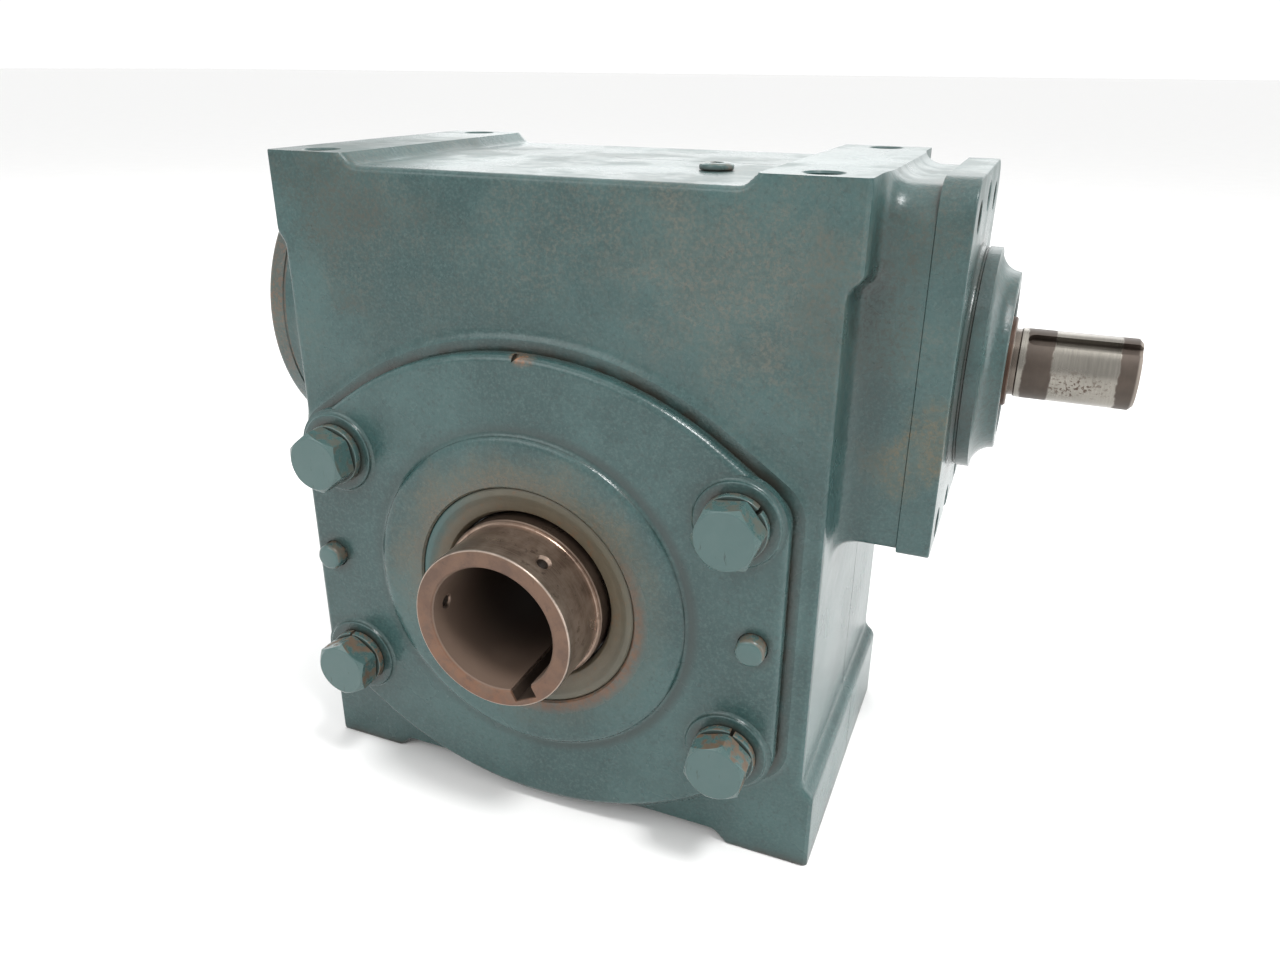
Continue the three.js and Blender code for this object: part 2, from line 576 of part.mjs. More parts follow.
// A socket-head screw along X. Its head's seat is at the origin, with the head towards +X.
function capScrew(headLength, length) {
  const body = turnedX([
    [-length, 0], [-length, CAP_SCREW.shank], [0, CAP_SCREW.shank], [0, CAP_SCREW.head],
    [headLength, CAP_SCREW.head], [headLength, 0],
  ], 10);
  const depth = Math.min(CAP_SCREW.socketDepth, headLength - SPARE);
  return cut(body, pinX(0, 0, CAP_SCREW.socket, headLength - depth, headLength + SPARE, 6));
}

// ---- End cap over the worm's far bearing ----
const endScrewPlaces = () =>
  Array.from({ length: END_SCREWS.count }, (_, i) => {
    const angle = radians(45 + (360 * i) / END_SCREWS.count);
    return [
      END_SCREWS.circle * Math.cos(angle),
      CENTRE_DISTANCE + END_SCREWS.circle * Math.sin(angle),
    ];
  });

function endCap() {
  const { from, to, chamfer, spigot, spigotTo, recess } = END_CAP;
  const rim = END_BOSS.radius;
  const body = turnedX([
    [to, 0], [to, rim - chamfer], [to + chamfer, rim], [from, rim], [from, spigot],
    [spigotTo, spigot], [spigotTo, recess], [from - SPARE, recess], [from - SPARE, 0],
  ]);
  return cut(
    onWormAxis(body),
    ...endScrewPlaces().flatMap(([y, z]) => [
      pinX(y, z, CAP_SCREW.shank + GAP, to - SPARE, from + SPARE, 8),
      pinX(y, z, COUNTERBORE.radius, to - SPARE, to + END_SCREWS.depth, 14),
    ]),
  );
}

function endGasket() {
  const [from, to] = [END_CAP.from + GAP, END_BOSS.face - GAP];
  const [inner, outer] = [END_CAP.gasketBore, END_BOSS.radius - SPARE];
  const ring = turnedX([[from, inner], [from, outer], [to, outer], [to, inner]]);
  return cut(
    onWormAxis(ring),
    ...endScrewPlaces().map(([y, z]) =>
      pinX(y, z, CAP_SCREW.shank + GAP, from - SPARE, to + SPARE, 8),
    ),
  );
}

// ---- Oil plugs ----
function ventPlug() {
  const seat = FEET.top - FEET.height;
  const { x, y, radius, head, shank, length, vent } = VENT_PLUG;
  const body = turned([
    [-length, 0], [-length, shank], [GAP, shank], [GAP, radius], [head - SPARE / 2, radius],
    [head, radius - SPARE], [head, 0],
  ], 16);
  return cut(body, pinY(0, 0, vent, 0, head + SPARE, 8))
    .rotateX(Math.PI / 2)
    .translate(x, y, seat);
}

function pipePlug(x, z) {
  const { radius, from, to, socket, socketDepth } = PIPE_PLUG;
  return cut(pinY(x, z, radius, from, to, 12), pinY(x, z, socket, to - socketDepth, to + SPARE, 6));
}

// ---- Assembly: one group for what stands still and one for each turning shaft ----
const stationary = new THREE.Group();
const output = new THREE.Group();
const worm = new THREE.Group();

function add(group, name, geometry, material) {
  const mesh = new THREE.Mesh(geometry, material);
  mesh.name = name;
  group.add(mesh);
  return mesh;
}

add(stationary, "housing", housing(), PAINT);
add(stationary, "front_cover", frontCover(), PAINT);
add(stationary, "cover_gasket", coverGasket(), GASKET);
for (const { name, x, z, turn } of COVER_BOLTS) {
  add(stationary, "cover_bolt_" + name, coverBolt(turn), PAINT).position.set(x, 0, z);
  const washer = add(stationary, "lock_washer_" + name, lockWasher(), PAINT);
  washer.position.set(x, 0, z);
  washer.rotation.y = radians(turn * 3);
}
for (const [name, side] of [["left", -1], ["right", 1]])
  add(stationary, "dowel_pin_" + name, dowelPin(), PAINT).position.set(side * DOWEL.x, 0, 0);

add(output, "output_shaft", outputShaft(), RUSTY_STEEL);
add(output, "wheel_hub", wheelHub(), CAST_IRON);
add(output, "worm_wheel", wormWheel(), BRONZE);
add(output, "wheel_key", keySolid(0), BEARING_STEEL);
for (const [name, side] of [["front", -1], ["rear", 1]]) {
  const { cup, cone, rollers } = taperedBearing(OUTPUT_BEARING);
  const parts = [
    [stationary, "output_bearing_cup_" + name, cup, BEARING_STEEL],
    [output, "output_bearing_cone_" + name, cone, BEARING_STEEL],
    [output, "output_bearing_rollers_" + name, rollers, BEARING_STEEL],
  ];
  for (const [group, label, geometry, material] of parts) {
    const part = add(group, label, geometry, material);
    part.position.y = side * OUTPUT_BEARING.middle;
    if (side > 0) part.rotation.x = Math.PI;
  }
  const seal = lipSeal(OUTPUT_SEAL, OUTPUT_SEAL.face, OUTPUT_SEAL.back);
  const sealMesh = add(stationary, "output_seal_" + name, seal, RUBBER);
  if (side < 0) sealMesh.rotation.x = Math.PI;
}

add(worm, "worm_shaft", wormShaft(), BRIGHT_STEEL).position.z = CENTRE_DISTANCE;
const halfBearing = WORM_BEARING.width / 2 + GAP;
for (const [name, middle, turn] of [
  ["left", WORM_JOURNAL.left - halfBearing, -1],
  ["right", WORM_JOURNAL.right + halfBearing, 1],
]) {
  const { cup, cone, rollers } = taperedBearing(WORM_BEARING);
  const parts = [
    [stationary, "worm_bearing_cup_" + name, cup],
    [worm, "worm_bearing_cone_" + name, cone],
    [worm, "worm_bearing_rollers_" + name, rollers],
  ];
  for (const [group, label, geometry] of parts) {
    const part = add(group, label, geometry, BEARING_STEEL);
    part.position.set(middle, 0, CENTRE_DISTANCE);
    part.rotation.z = (turn * Math.PI) / 2;
  }
}

add(stationary, "input_flange", inputFlange(), PAINT);
const inputSeal = add(
  stationary, "input_seal", lipSeal(INPUT_SEAL, INPUT_SEAL.to, INPUT_SEAL.from), RUBBER,
);
inputSeal.position.z = CENTRE_DISTANCE;
inputSeal.rotation.z = -Math.PI / 2;
flangeCorners().forEach(([y, z], i) => {
  const screw = add(
    stationary, "flange_screw_" + (i + 1), capScrew(CAP_SCREW.headLength, FLANGE_SCREWS.length),
    BEARING_STEEL,
  );
  screw.position.set(FLANGE.to - COUNTERBORE.depth + GAP, y, z);
});

add(stationary, "end_cap", endCap(), PAINT);
add(stationary, "end_cap_gasket", endGasket(), GASKET);
endScrewPlaces().forEach(([y, z], i) => {
  const screw = add(
    stationary, "end_cap_screw_" + (i + 1),
    capScrew(END_SCREWS.headLength, END_SCREWS.length), BEARING_STEEL,
  );
  screw.position.set(END_CAP.to + END_SCREWS.depth - GAP, y, z);
  screw.rotation.z = Math.PI;
});

add(stationary, "vent_plug", ventPlug(), PAINT);
for (const [name, [x, z]] of Object.entries(pipePlugPlaces))
  add(stationary, name, pipePlug(x, z), PAINT);

const gearbox = new THREE.Group();
gearbox.add(stationary, output, worm);
gearbox.position.set(OUTPUT_X, 0, -FEET.bottom);

export default gearbox;
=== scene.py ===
"""Worm gearbox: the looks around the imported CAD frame. Lengths are in millimetres from the output axis
at the housing's middle, as in the CAD source, and are turned into metres of the row frame by place()."""
import json
import math

import bmesh
import bpy
import numpy as np
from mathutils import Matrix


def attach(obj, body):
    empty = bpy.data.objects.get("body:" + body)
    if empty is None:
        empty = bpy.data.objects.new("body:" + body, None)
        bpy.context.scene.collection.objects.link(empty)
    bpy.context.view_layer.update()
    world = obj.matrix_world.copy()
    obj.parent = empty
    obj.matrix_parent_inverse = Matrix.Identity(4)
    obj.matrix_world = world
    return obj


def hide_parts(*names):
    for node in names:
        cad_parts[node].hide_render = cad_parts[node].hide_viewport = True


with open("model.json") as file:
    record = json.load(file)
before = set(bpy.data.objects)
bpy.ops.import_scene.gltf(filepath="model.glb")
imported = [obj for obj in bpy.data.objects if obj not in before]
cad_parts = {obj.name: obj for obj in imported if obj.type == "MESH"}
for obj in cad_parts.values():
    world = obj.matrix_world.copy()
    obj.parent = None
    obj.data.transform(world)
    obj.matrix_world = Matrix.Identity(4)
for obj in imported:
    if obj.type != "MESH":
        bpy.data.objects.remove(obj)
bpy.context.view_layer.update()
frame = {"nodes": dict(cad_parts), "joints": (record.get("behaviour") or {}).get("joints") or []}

import openvdb
from mathutils import Matrix, Vector

MM = 0.001
JOINTS = {joint["name"]: joint for joint in frame["joints"]}
OUTPUT_AXIS = Vector(JOINTS["output_spin"]["pos_m"])
CENTRE_DISTANCE = (JOINTS["worm_spin"]["pos_m"][2] - OUTPUT_AXIS.z) / MM

# ---- Sizes, in millimetres ----
BODY = {"left": -99.4, "right": 105.8, "half_depth": 62.9, "edge": 1.8}
FEET = {"left": -102.4, "right": 110.2, "top": 152.4, "bottom": -95.25, "height": 4.0, "slope": 4.0}
FOOT_INNER = (-66.0, 73.0)
FOOT_SHANK = {"top": 120.0, "bottom": -60.0}
FOOT_HOLES = {"x": (-85.7, 94.2), "y": (-52.9, 52.9), "radius": 6.0, "depth": 18.0}
COVER = {"half_width": 96.0, "arc": 125.0, "corner_z": 51.2, "crown_z": 120.0, "corner": 12.0}
COVER_Y = {"housing": -64.2, "back": -65.3, "face": -70.8, "seat": -72.4, "boss": -73.1}
BOSS_RADIUS = 62.5
PILOT_RADIUS = 78.5
BOLTS = {
    "upper_left": (-79.0, 44.9, 40.0),
    "upper_right": (79.0, 44.9, 8.0),
    "lower_left": (-79.0, -44.9, 25.0),
    "lower_right": (79.0, -44.9, 18.0),
}
BOLT = {"shank": 7.0, "across": 20.6, "head": 9.3, "washer": 3.3, "washer_radius": 11.6, "seat": 15.1}
DOWEL = {"x": 86.5, "radius": 5.2, "from": -76.0, "to": -52.0}
SHAFT = {"end": 96.7, "outside": 30.7, "journal": 32.3, "seat": 35.0, "bore": 23.8, "step": 75.0}
SEAL = {"outer": 43.3, "window": 34.2, "lip": 32.7, "face": 72.7, "back": 63.0}
BEARING_SEAT = 50.3
NECK = {"to": 126.22, "half_width": 45.0, "bottom": -56.5, "top": 60.0, "corner": 12.0, "foot": 3.0}
FLANGE = {
    "from": 126.3, "to": 137.1, "half_width": 45.2, "bottom": -57.9, "top": 62.6,
    "corner": 12.0, "foot": 3.0,
}
HUB = {"radius": 37.4, "nose": 29.8, "step": 143.7, "face": 150.7}
FLANGE_SCREWS = (29.5, 50.5)
FLANGE_TAPS = 53.5
JOURNAL = 15.0
INPUT_SHAFT = {"radius": 11.7, "from": 152.0, "to": 190.7}
PARTING = {"y": 8.0, "width": 0.5, "depth": 0.35}
END_BOSS = {"radius": 57.7, "face": -107.5, "gasket": -108.6, "cap": -116.3}
VENT = {"x": 50.5, "y": -19.5}
PLUG_CIRCLE = 70.8
END_SCREW_CIRCLE = 45
SOCKET_SCREW = {"core": 2.4, "thread": 3.1, "hole": 3.4, "head": 4.75, "head_hole": 5.1, "key": 2.75}
WORM_BORE = {"clear": 36, "spigot": 40, "bearing": 31.3, "relief": 26}
WORM = {"pitch": 14.64, "turns": 4.25, "radius": 19.0, "root": 13.4, "pressure_angle": 20}
GAP = 0.3  # between pieces that touch
FINE, MEDIUM = 160, 96  # segments round large and smaller turned shapes

# ---- The view ----
LENS = 27.26
CAMERA_PLACE = (157.8, -343.2, 180.3)
CAMERA_FORWARD = (-0.35217, 0.84952, -0.39281)
CAMERA_RIGHT = (0.92250, 0.38592, 0.00754)
FLOOR_HALF, FLOOR_DROP = 40, 0.0004  # metres


# ---- Camera, lights and floor ----
def place(point):
    """A point in millimetres from the output axis, in metres of the row frame."""
    return OUTPUT_AXIS + Vector(point) * MM


def make_camera():
    data = bpy.data.cameras.new("camera")
    data.lens = LENS
    data.sensor_width = 36
    camera = bpy.data.objects.new("camera", data)
    bpy.context.scene.collection.objects.link(camera)
    forward = Vector(CAMERA_FORWARD).normalized()
    right = Vector(CAMERA_RIGHT).normalized()
    up = right.cross(forward).normalized()
    right = forward.cross(up)
    camera.matrix_world = Matrix.Translation(place(CAMERA_PLACE)) @ Matrix(
        (right, up, -forward)).transposed().to_4x4()
    bpy.context.scene.camera = camera


def area_light(name, location, target, size, watts):
    data = bpy.data.lights.new(name, "AREA")
    data.shape = "RECTANGLE"
    data.size, data.size_y = size
    data.energy = watts
    light = bpy.data.objects.new(name, data)
    bpy.context.scene.collection.objects.link(light)
    light.location = location
    light.visible_camera = False
    light.rotation_euler = (Vector(target) - Vector(location)).to_track_quat("-Z", "Y").to_euler()


def make_studio():
    world = bpy.data.worlds.new("studio")
    bpy.context.scene.world = world
    world.use_nodes = True
    background = world.node_tree.nodes["Background"]
    background.inputs["Color"].default_value = (1, 1, 1, 1)
    background.inputs["Strength"].default_value = 1.06
    middle = (0, 0, 0.12)
    area_light("overhead", (-0.1, 0.1, 1.5), middle, (1.6, 1.2), 4)
    area_light("ceiling_lamp", (0.7, -0.45, 1.7), middle, (0.35, 0.3), 20)
    area_light("front_left", (-0.7, -1.3, 1.1), middle, (1.0, 1.0), 7)
    area_light("backdrop_glow", (-0.1, 1.7, 0.9), (0, 0, 0.25), (2.4, 0.9), 11)
    area_light("right_glow", (1.5, 0.6, 0.5), (0, 0, 0.1), (1.4, 1.2), 12)
    bpy.context.scene.view_settings.view_transform = "Standard"


# ---- Outlines ----
def filleted(corners, turn_step=0.16):
    """Points round [x, y, radius] corners taken anticlockwise, each corner rounded by its radius."""
    points = []
    count = len(corners)
    for i, (x, y, radius) in enumerate(corners):
        corner = Vector((x, y))
        if not radius:
            points.append(corner)
            continue
        back = (Vector(corners[i - 1][:2]) - corner).normalized()
        on = (Vector(corners[(i + 1) % count][:2]) - corner).normalized()
        half = back.angle(on) / 2
        centre = corner + (back + on).normalized() * radius / math.sin(half)
        start = corner + back * radius / math.tan(half) - centre
        sweep = math.pi - 2 * half
        if back.x * on.y - back.y * on.x > 0:
            sweep = -sweep
        steps = max(2, math.ceil(abs(sweep) / turn_step))
        for k in range(steps + 1):
            turn = Matrix.Rotation(sweep * k / steps, 2)
            points.append(centre + turn @ start)
    return [(p.x, p.y) for i, p in enumerate(points) if (p - points[i - 1]).length > 0.01]


def cover_outline(rim, turn_step=0.06):
    """The cover's outline moved outwards by rim: upright sides and a crown of two slopes and a wide arc."""
    side, corner, crown = COVER["half_width"], COVER["corner_z"], COVER["crown_z"]
    across, up = Vector((crown - corner, side)).normalized()
    slope = across * side + up * corner + rim
    side += rim
    corner, crown = (slope - across * side) / up, slope / up
    small, large = COVER["corner"] + rim, COVER["arc"] + rim
    return filleted([
        (side, -corner, small), (side, corner, small), (0, crown, large),
        (-side, corner, small), (-side, -corner, small), (0, -crown, large),
    ], turn_step)


def upright_rectangle(size, inset=0.0):
    """The outline of the neck or the flange, its bottom corners rounded less than its top ones."""
    side, bottom, top = size["half_width"] - inset, size["bottom"] + inset, size["top"] - inset
    corner, foot = size["corner"] - inset, size["foot"] - inset
    return filleted([
        (side, bottom, foot), (side, top, corner), (-side, top, corner), (-side, bottom, foot),
    ], 0.12)


def body_outline():
    """The housing seen from the front, its feet left tall so that machining can face them."""
    spare = 1.5
    left, right = FEET["left"], FEET["right"]
    top, bottom = FEET["top"] + spare, FEET["bottom"] - spare
    recess_top, recess_bottom = FEET["top"] - FEET["height"], FEET["bottom"] + FEET["height"]
    slope = FEET["slope"]
    shank_top, shank_bottom = FOOT_SHANK["top"], FOOT_SHANK["bottom"]
    inner_left, inner_right = FOOT_INNER
    soft, round_foot = 4.0, 1.6
    return filleted([
        (right, bottom, 1.0), (right, shank_bottom - slope, soft),
        (BODY["right"], shank_bottom, soft), (BODY["right"], shank_top, soft),
        (right, shank_top + slope, soft), (right, top, 1.0),
        (inner_right + slope + spare, top, round_foot), (inner_right, recess_top, soft),
        (inner_left, recess_top, soft), (inner_left - slope - spare, top, round_foot),
        (left, top, 1.0), (left, shank_top + slope, soft),
        (BODY["left"], shank_top, soft), (BODY["left"], shank_bottom, soft),
        (left, shank_bottom - slope, soft), (left, bottom, 1.0),
        (inner_left - slope - spare, bottom, round_foot), (inner_left, recess_bottom, soft),
        (inner_right, recess_bottom, soft), (inner_right + slope + spare, bottom, round_foot),
    ], 0.3)


# ---- Mesh building ----
def make_piece(name, points, faces):
    """A mesh object from points in millimetres from the output axis."""
    mesh = bpy.data.meshes.new(name)
    shifted = np.asarray(points, float) * MM + np.array(OUTPUT_AXIS)
    mesh.from_pydata(shifted, [], faces)
    mesh.update()
    piece = bpy.data.objects.new(name, mesh)
    bpy.context.scene.collection.objects.link(piece)
    return piece


def tidy_mesh(piece):
    """Joins doubled points and turns every face outwards."""
    work = bmesh.new()
    work.from_mesh(piece.data)
    bmesh.ops.remove_doubles(work, verts=work.verts, dist=1e-7)
    bmesh.ops.recalc_face_normals(work, faces=work.faces)
    work.to_mesh(piece.data)
    work.free()
    return piece


def smooth_shade(piece, angle=32, weighted=True):
    piece.data.shade_smooth()
    piece.data.set_sharp_from_angle(angle=math.radians(angle))
    if weighted:
        modifier = piece.modifiers.new("normals", "WEIGHTED_NORMAL")
        modifier.keep_sharp = True
        modifier.weight = 100
    return piece


def turned(name, profile, segments=128, along="Y", centre=(0, 0, 0), closed=True):
    """A solid of revolution from [along, radius] points. A closed section is a ring."""
    profile = list(profile)
    rows = len(profile)
    angles = np.arange(segments) * 2 * math.pi / segments
    points = np.empty((segments, rows, 3))
    for j, (distance, radius) in enumerate(profile):
        across, up = radius * np.cos(angles), radius * np.sin(angles)
        parts = {"X": (distance, across, up), "Y": (across, distance, up), "Z": (across, up, distance)}
        for k, value in enumerate(parts[along]):
            points[:, j, k] = value
    points += np.array(centre)
    last = rows if closed else rows - 1
    faces = []
    for i in range(segments):
        n = (i + 1) % segments
        for j in range(last):
            k = (j + 1) % rows
            faces.append((i * rows + j, i * rows + k, n * rows + k, n * rows + j))
    return tidy_mesh(make_piece(name, points.reshape(-1, 3), faces))


def solid_of(name, profile, **more):
    """A solid of revolution whose profile starts and ends on its axis."""
    return turned(name, profile, closed=False, **more)


def cylinder(name, radius, start, end, along="Y", centre=(0, 0, 0), segments=64):
    return solid_of(name, [(start, 0), (start, radius), (end, radius), (end, 0)],
                    along=along, centre=centre, segments=segments)


def countersunk(name, radius, mouth, depth, chamfer=0.7, along="Y", centre=(0, 0, 0), segments=48):
    """The cutter of a blind hole with a chamfered mouth. mouth is where the face is; depth is signed."""
    out = -math.copysign(1, depth)
    return solid_of(name, [
        (mouth + depth, 0), (mouth + depth, radius), (mouth - out * chamfer, radius),
        (mouth + out * chamfer, radius + 2 * chamfer), (mouth + out * chamfer * 3, radius + 2 * chamfer),
        (mouth + out * chamfer * 3, 0),
    ], along=along, centre=centre, segments=segments)


def prism(name, outline_of, levels, axes):
    """A solid of stacked outlines: levels are [distance, inset] pairs, from one end to the other."""
    rings = [[axes(distance, u, v) for u, v in outline_of(inset)] for distance, inset in levels]
    count = len(rings[0])
    points = [p for ring in rings for p in ring]
    faces = [tuple(range(count)), tuple(range(len(points) - 1, len(points) - count - 1, -1))]
    for level in range(len(rings) - 1):
        base, above = level * count, (level + 1) * count
        for i in range(count):
            n = (i + 1) % count
            faces.append((base + i, above + i, above + n, base + n))
    return tidy_mesh(make_piece(name, points, faces))


def along_y(distance, u, v):
    return (u, distance, v)


def along_x(distance, u, v):
    return (distance, u, v + CENTRE_DISTANCE)


def box_piece(name, low, high):
    x, y, z = zip(low, high)
    points = [(a, b, c) for a in x for b in y for c in z]
    faces = [(0, 1, 3, 2), (4, 6, 7, 5), (0, 4, 5, 1), (2, 3, 7, 6), (0, 2, 6, 4), (1, 5, 7, 3)]
    return tidy_mesh(make_piece(name, points, faces))


def spin(piece, angle, axis, centre=(0, 0, 0)):
    """Turns a piece's mesh about an axis through a point, by degrees."""
    middle = place(centre)
    turn = Matrix.Rotation(math.radians(angle), 4, axis)
    piece.data.transform(Matrix.Translation(middle) @ turn @ Matrix.Translation(-middle))
    return piece


def combine(piece, operation, others):
    for other in others:
        modifier = piece.modifiers.new("combine", "BOOLEAN")
        modifier.operation = operation
        modifier.solver = "MANIFOLD"
        modifier.object = other
    bpy.context.view_layer.update()
    evaluated = piece.evaluated_get(bpy.context.evaluated_depsgraph_get())
    mesh = bpy.data.meshes.new_from_object(evaluated)
    piece.modifiers.clear()
    old = piece.data
    piece.data = mesh
    bpy.data.meshes.remove(old)
    for other in others:
        spent = other.data
        bpy.data.objects.remove(other)
        bpy.data.meshes.remove(spent)
    return piece


def cut(piece, *others):
    return combine(piece, "DIFFERENCE", others)


def join(piece, *others):
    return combine(piece, "UNION", others)


# ---- Cast shapes: distance fields, blended where the casting is blended ----
class Casting:
    """A block of space holding the distance to a cast surface."""

    def __init__(self, low, high, step):
        self.low, self.step = np.array(low, float), step
        axes = [np.arange(a, b + step, step) for a, b in zip(low, high)]
        self.x = axes[0][:, None, None].astype(np.float32)
        self.y = axes[1][None, :, None].astype(np.float32)
        self.z = axes[2][None, None, :].astype(np.float32)
        self.field = None

    def add(self, distance, blend=0.0):
        if self.field is None:
            self.field = distance
            return
        near = np.maximum(blend - np.abs(self.field - distance), 0)
        self.field = np.minimum(self.field, distance)
        if blend:
            self.field -= near * near / (4 * blend)

    def mesh(self, name, material_step=3.0):
        reach = material_step * self.step
        grid = openvdb.FloatGrid(reach)
        grid.copyFromArray(np.clip(self.field, -reach, reach).astype(np.float32))
        points, quads = grid.convertToQuads(0.0)
        points = points * self.step + self.low
        return make_piece(name, points, quads.tolist())


def outline_distance(points, u, v):
    """Signed distance from a grid of (u, v) to a closed outline, negative inside."""
    best = np.full(np.broadcast(u, v).shape, 1e9, np.float32)
    inside = np.zeros(best.shape, bool)
    for (ax, ay), (bx, by) in zip(points, points[1:] + points[:1]):
        dx, dy = bx - ax, by - ay
        share = np.clip(((u - ax) * dx + (v - ay) * dy) / (dx * dx + dy * dy + 1e-12), 0, 1)
        best = np.minimum(best, (u - ax - share * dx) ** 2 + (v - ay - share * dy) ** 2)
        if abs(dy) > 1e-9:
            crosses = (ay > v) != (by > v)
            inside ^= crosses & (u < ax + (v - ay) * dx / dy)
    return np.where(inside, -1, 1) * np.sqrt(best)


def rounded_slab(flat, along, start, end, edge):
    """The distance to an outline carried along an axis, with its two end edges rounded."""
    side = flat + edge
    cap = np.abs(along - (start + end) / 2) - (end - start) / 2 + edge
    outside = np.sqrt(np.maximum(side, 0) ** 2 + np.maximum(cap, 0) ** 2)
    return outside + np.minimum(np.maximum(side, cap), 0) - edge


# ---- Materials ----
class Graph:
    """A short way to write a material's nodes."""

    def __init__(self, name):
        self.material = bpy.data.materials.new(name)
        self.material.use_nodes = True
        self.nodes = self.material.node_tree.nodes
        self.links = self.material.node_tree.links
        self.shader = self.nodes["Principled BSDF"]
        self.place = self.node("ShaderNodeTexCoord").outputs["Object"]
        self.spot = self.node("ShaderNodeVectorMath", operation="SUBTRACT")
        self.links.new(self.place, self.spot.inputs[0])
        self.spot.inputs[1].default_value = OUTPUT_AXIS
        parts = self.node("ShaderNodeSeparateXYZ")
        self.links.new(self.spot.outputs[0], parts.inputs[0])
        self.x, self.y, self.z = parts.outputs

    def node(self, kind, **settings):
        made = self.nodes.new(kind)
        for key, value in settings.items():
            setattr(made, key, value)
        return made

    def put(self, value, socket):
        if isinstance(value, bpy.types.NodeSocket):
            self.links.new(value, socket)
        else:
            socket.default_value = value

    def math(self, operation, a, b=0.0, clamp=False):
        made = self.node("ShaderNodeMath", operation=operation, use_clamp=clamp)
        self.put(a, made.inputs[0])
        self.put(b, made.inputs[1])
        return made.outputs[0]

    def times(self, first, *rest):
        for value in rest:
            first = self.math("MULTIPLY", first, value)
        return first

    def plus(self, a, b):
        return self.math("ADD", a, b)

    def minus(self, a, b):
        return self.math("SUBTRACT", a, b)

    def most(self, first, *rest):
        for value in rest:
            first = self.math("MAXIMUM", first, value)
        return first

    def noise(self, size_mm, detail=2.0, roughness=0.5, stretch=None, seed=0.0):
        made = self.node("ShaderNodeTexNoise")
        where = self.place
        if stretch or seed:
            mapping = self.node("ShaderNodeMapping")
            self.links.new(where, mapping.inputs["Vector"])
            mapping.inputs["Location"].default_value = (seed, seed * 0.7, seed * 0.3)
            mapping.inputs["Scale"].default_value = stretch or (1, 1, 1)
            where = mapping.outputs[0]
        self.links.new(where, made.inputs["Vector"])
        made.inputs["Scale"].default_value = 1 / (size_mm * MM)
        made.inputs["Detail"].default_value = detail
        made.inputs["Roughness"].default_value = roughness
        return made.outputs["Fac"]

    def band(self, value, low, high, start=0.0, end=1.0):
        """start below low, end above high, and smooth between."""
        made = self.node("ShaderNodeMapRange", interpolation_type="SMOOTHSTEP")
        for socket, number in zip(made.inputs[1:5], (low, high, start, end)):
            socket.default_value = number
        self.put(value, made.inputs["Value"])
        return made.outputs["Result"]

    def ramp(self, value, low, high, start=0.0, end=1.0):
        """A band whose limits are in millimetres."""
        return self.band(value, low * MM, high * MM, start, end)

    def between(self, value, low, rise, fall, high):
        """1 from rise to fall and 0 below low and above high, in millimetres."""
        return self.times(self.ramp(value, low, rise), self.ramp(value, fall, high, 1, 0))

    def mix(self, share, a, b):
        made = self.node("ShaderNodeMix", data_type="RGBA")
        self.put(share, made.inputs["Factor"])
        for value, socket in ((a, made.inputs[6]), (b, made.inputs[7])):
            self.put(value if isinstance(value, bpy.types.NodeSocket) else (*value, 1), socket)
        return made.outputs[2]

    def over(self, colour, tint, *shares):
        """A colour covered by a tint as far as the product of the shares."""
        return self.mix(self.times(*shares), colour, tint)

    def scale(self, colour, factor):
        made = self.node("ShaderNodeVectorMath", operation="SCALE")
        self.links.new(colour, made.inputs[0])
        self.put(factor, made.inputs["Scale"])
        return made.outputs[0]

    def facing(self, axis):
        """How far the surface faces along an axis, from -1 to 1."""
        geometry = self.node("ShaderNodeNewGeometry")
        parts = self.node("ShaderNodeSeparateXYZ")
        self.links.new(geometry.outputs["Normal"], parts.inputs[0])
        return parts.outputs[axis]

    def patch(self, centre, reach, ragged=0.9):
        """Near 1 inside a soft ellipsoid whose edge is broken up by noise."""
        offset = self.node("ShaderNodeVectorMath", operation="SUBTRACT")
        self.links.new(self.spot.outputs[0], offset.inputs[0])
        offset.inputs[1].default_value = Vector(centre) * MM
        share = self.node("ShaderNodeVectorMath", operation="DIVIDE")
        self.links.new(offset.outputs[0], share.inputs[0])
        share.inputs[1].default_value = Vector(reach) * MM
        length = self.node("ShaderNodeVectorMath", operation="LENGTH")
        self.links.new(share.outputs[0], length.inputs[0])
        broken = self.math("MULTIPLY", self.math("SUBTRACT", self.noise(11, 4, 0.65), 0.5), ragged * 2)
        return self.band(self.math("ADD", length.outputs["Value"], broken), 0.25, 1.1, 1, 0)

    def radius(self, a, b):
        return self.math("SQRT", self.math("ADD", self.math("MULTIPLY", a, a), self.math("MULTIPLY", b, b)))

    def crevice(self, reach_mm, low=0.55, high=0.95):
        """Near 1 in corners."""
        made = self.node("ShaderNodeAmbientOcclusion", samples=6)
        made.inputs["Distance"].default_value = reach_mm * MM
        return self.band(made.outputs["AO"], low, high, 1.0, 0.0)

    def bump(self, height, distance_mm, strength=1.0, onto=None):
        made = self.node("ShaderNodeBump")
        made.inputs["Strength"].default_value = strength
        made.inputs["Distance"].default_value = distance_mm * MM
        self.links.new(height, made.inputs["Height"])
        if onto is not None:
            self.links.new(onto, made.inputs["Normal"])
        return made.outputs["Normal"]

    def finish(self, colour, roughness, normal=None, metallic=0.0):
        self.put(colour if isinstance(colour, bpy.types.NodeSocket) else (*colour, 1),
                 self.shader.inputs["Base Color"])
        self.put(roughness, self.shader.inputs["Roughness"])
        self.put(metallic, self.shader.inputs["Metallic"])
        if normal is not None:
            self.links.new(normal, self.shader.inputs["Normal"])
        return self.material


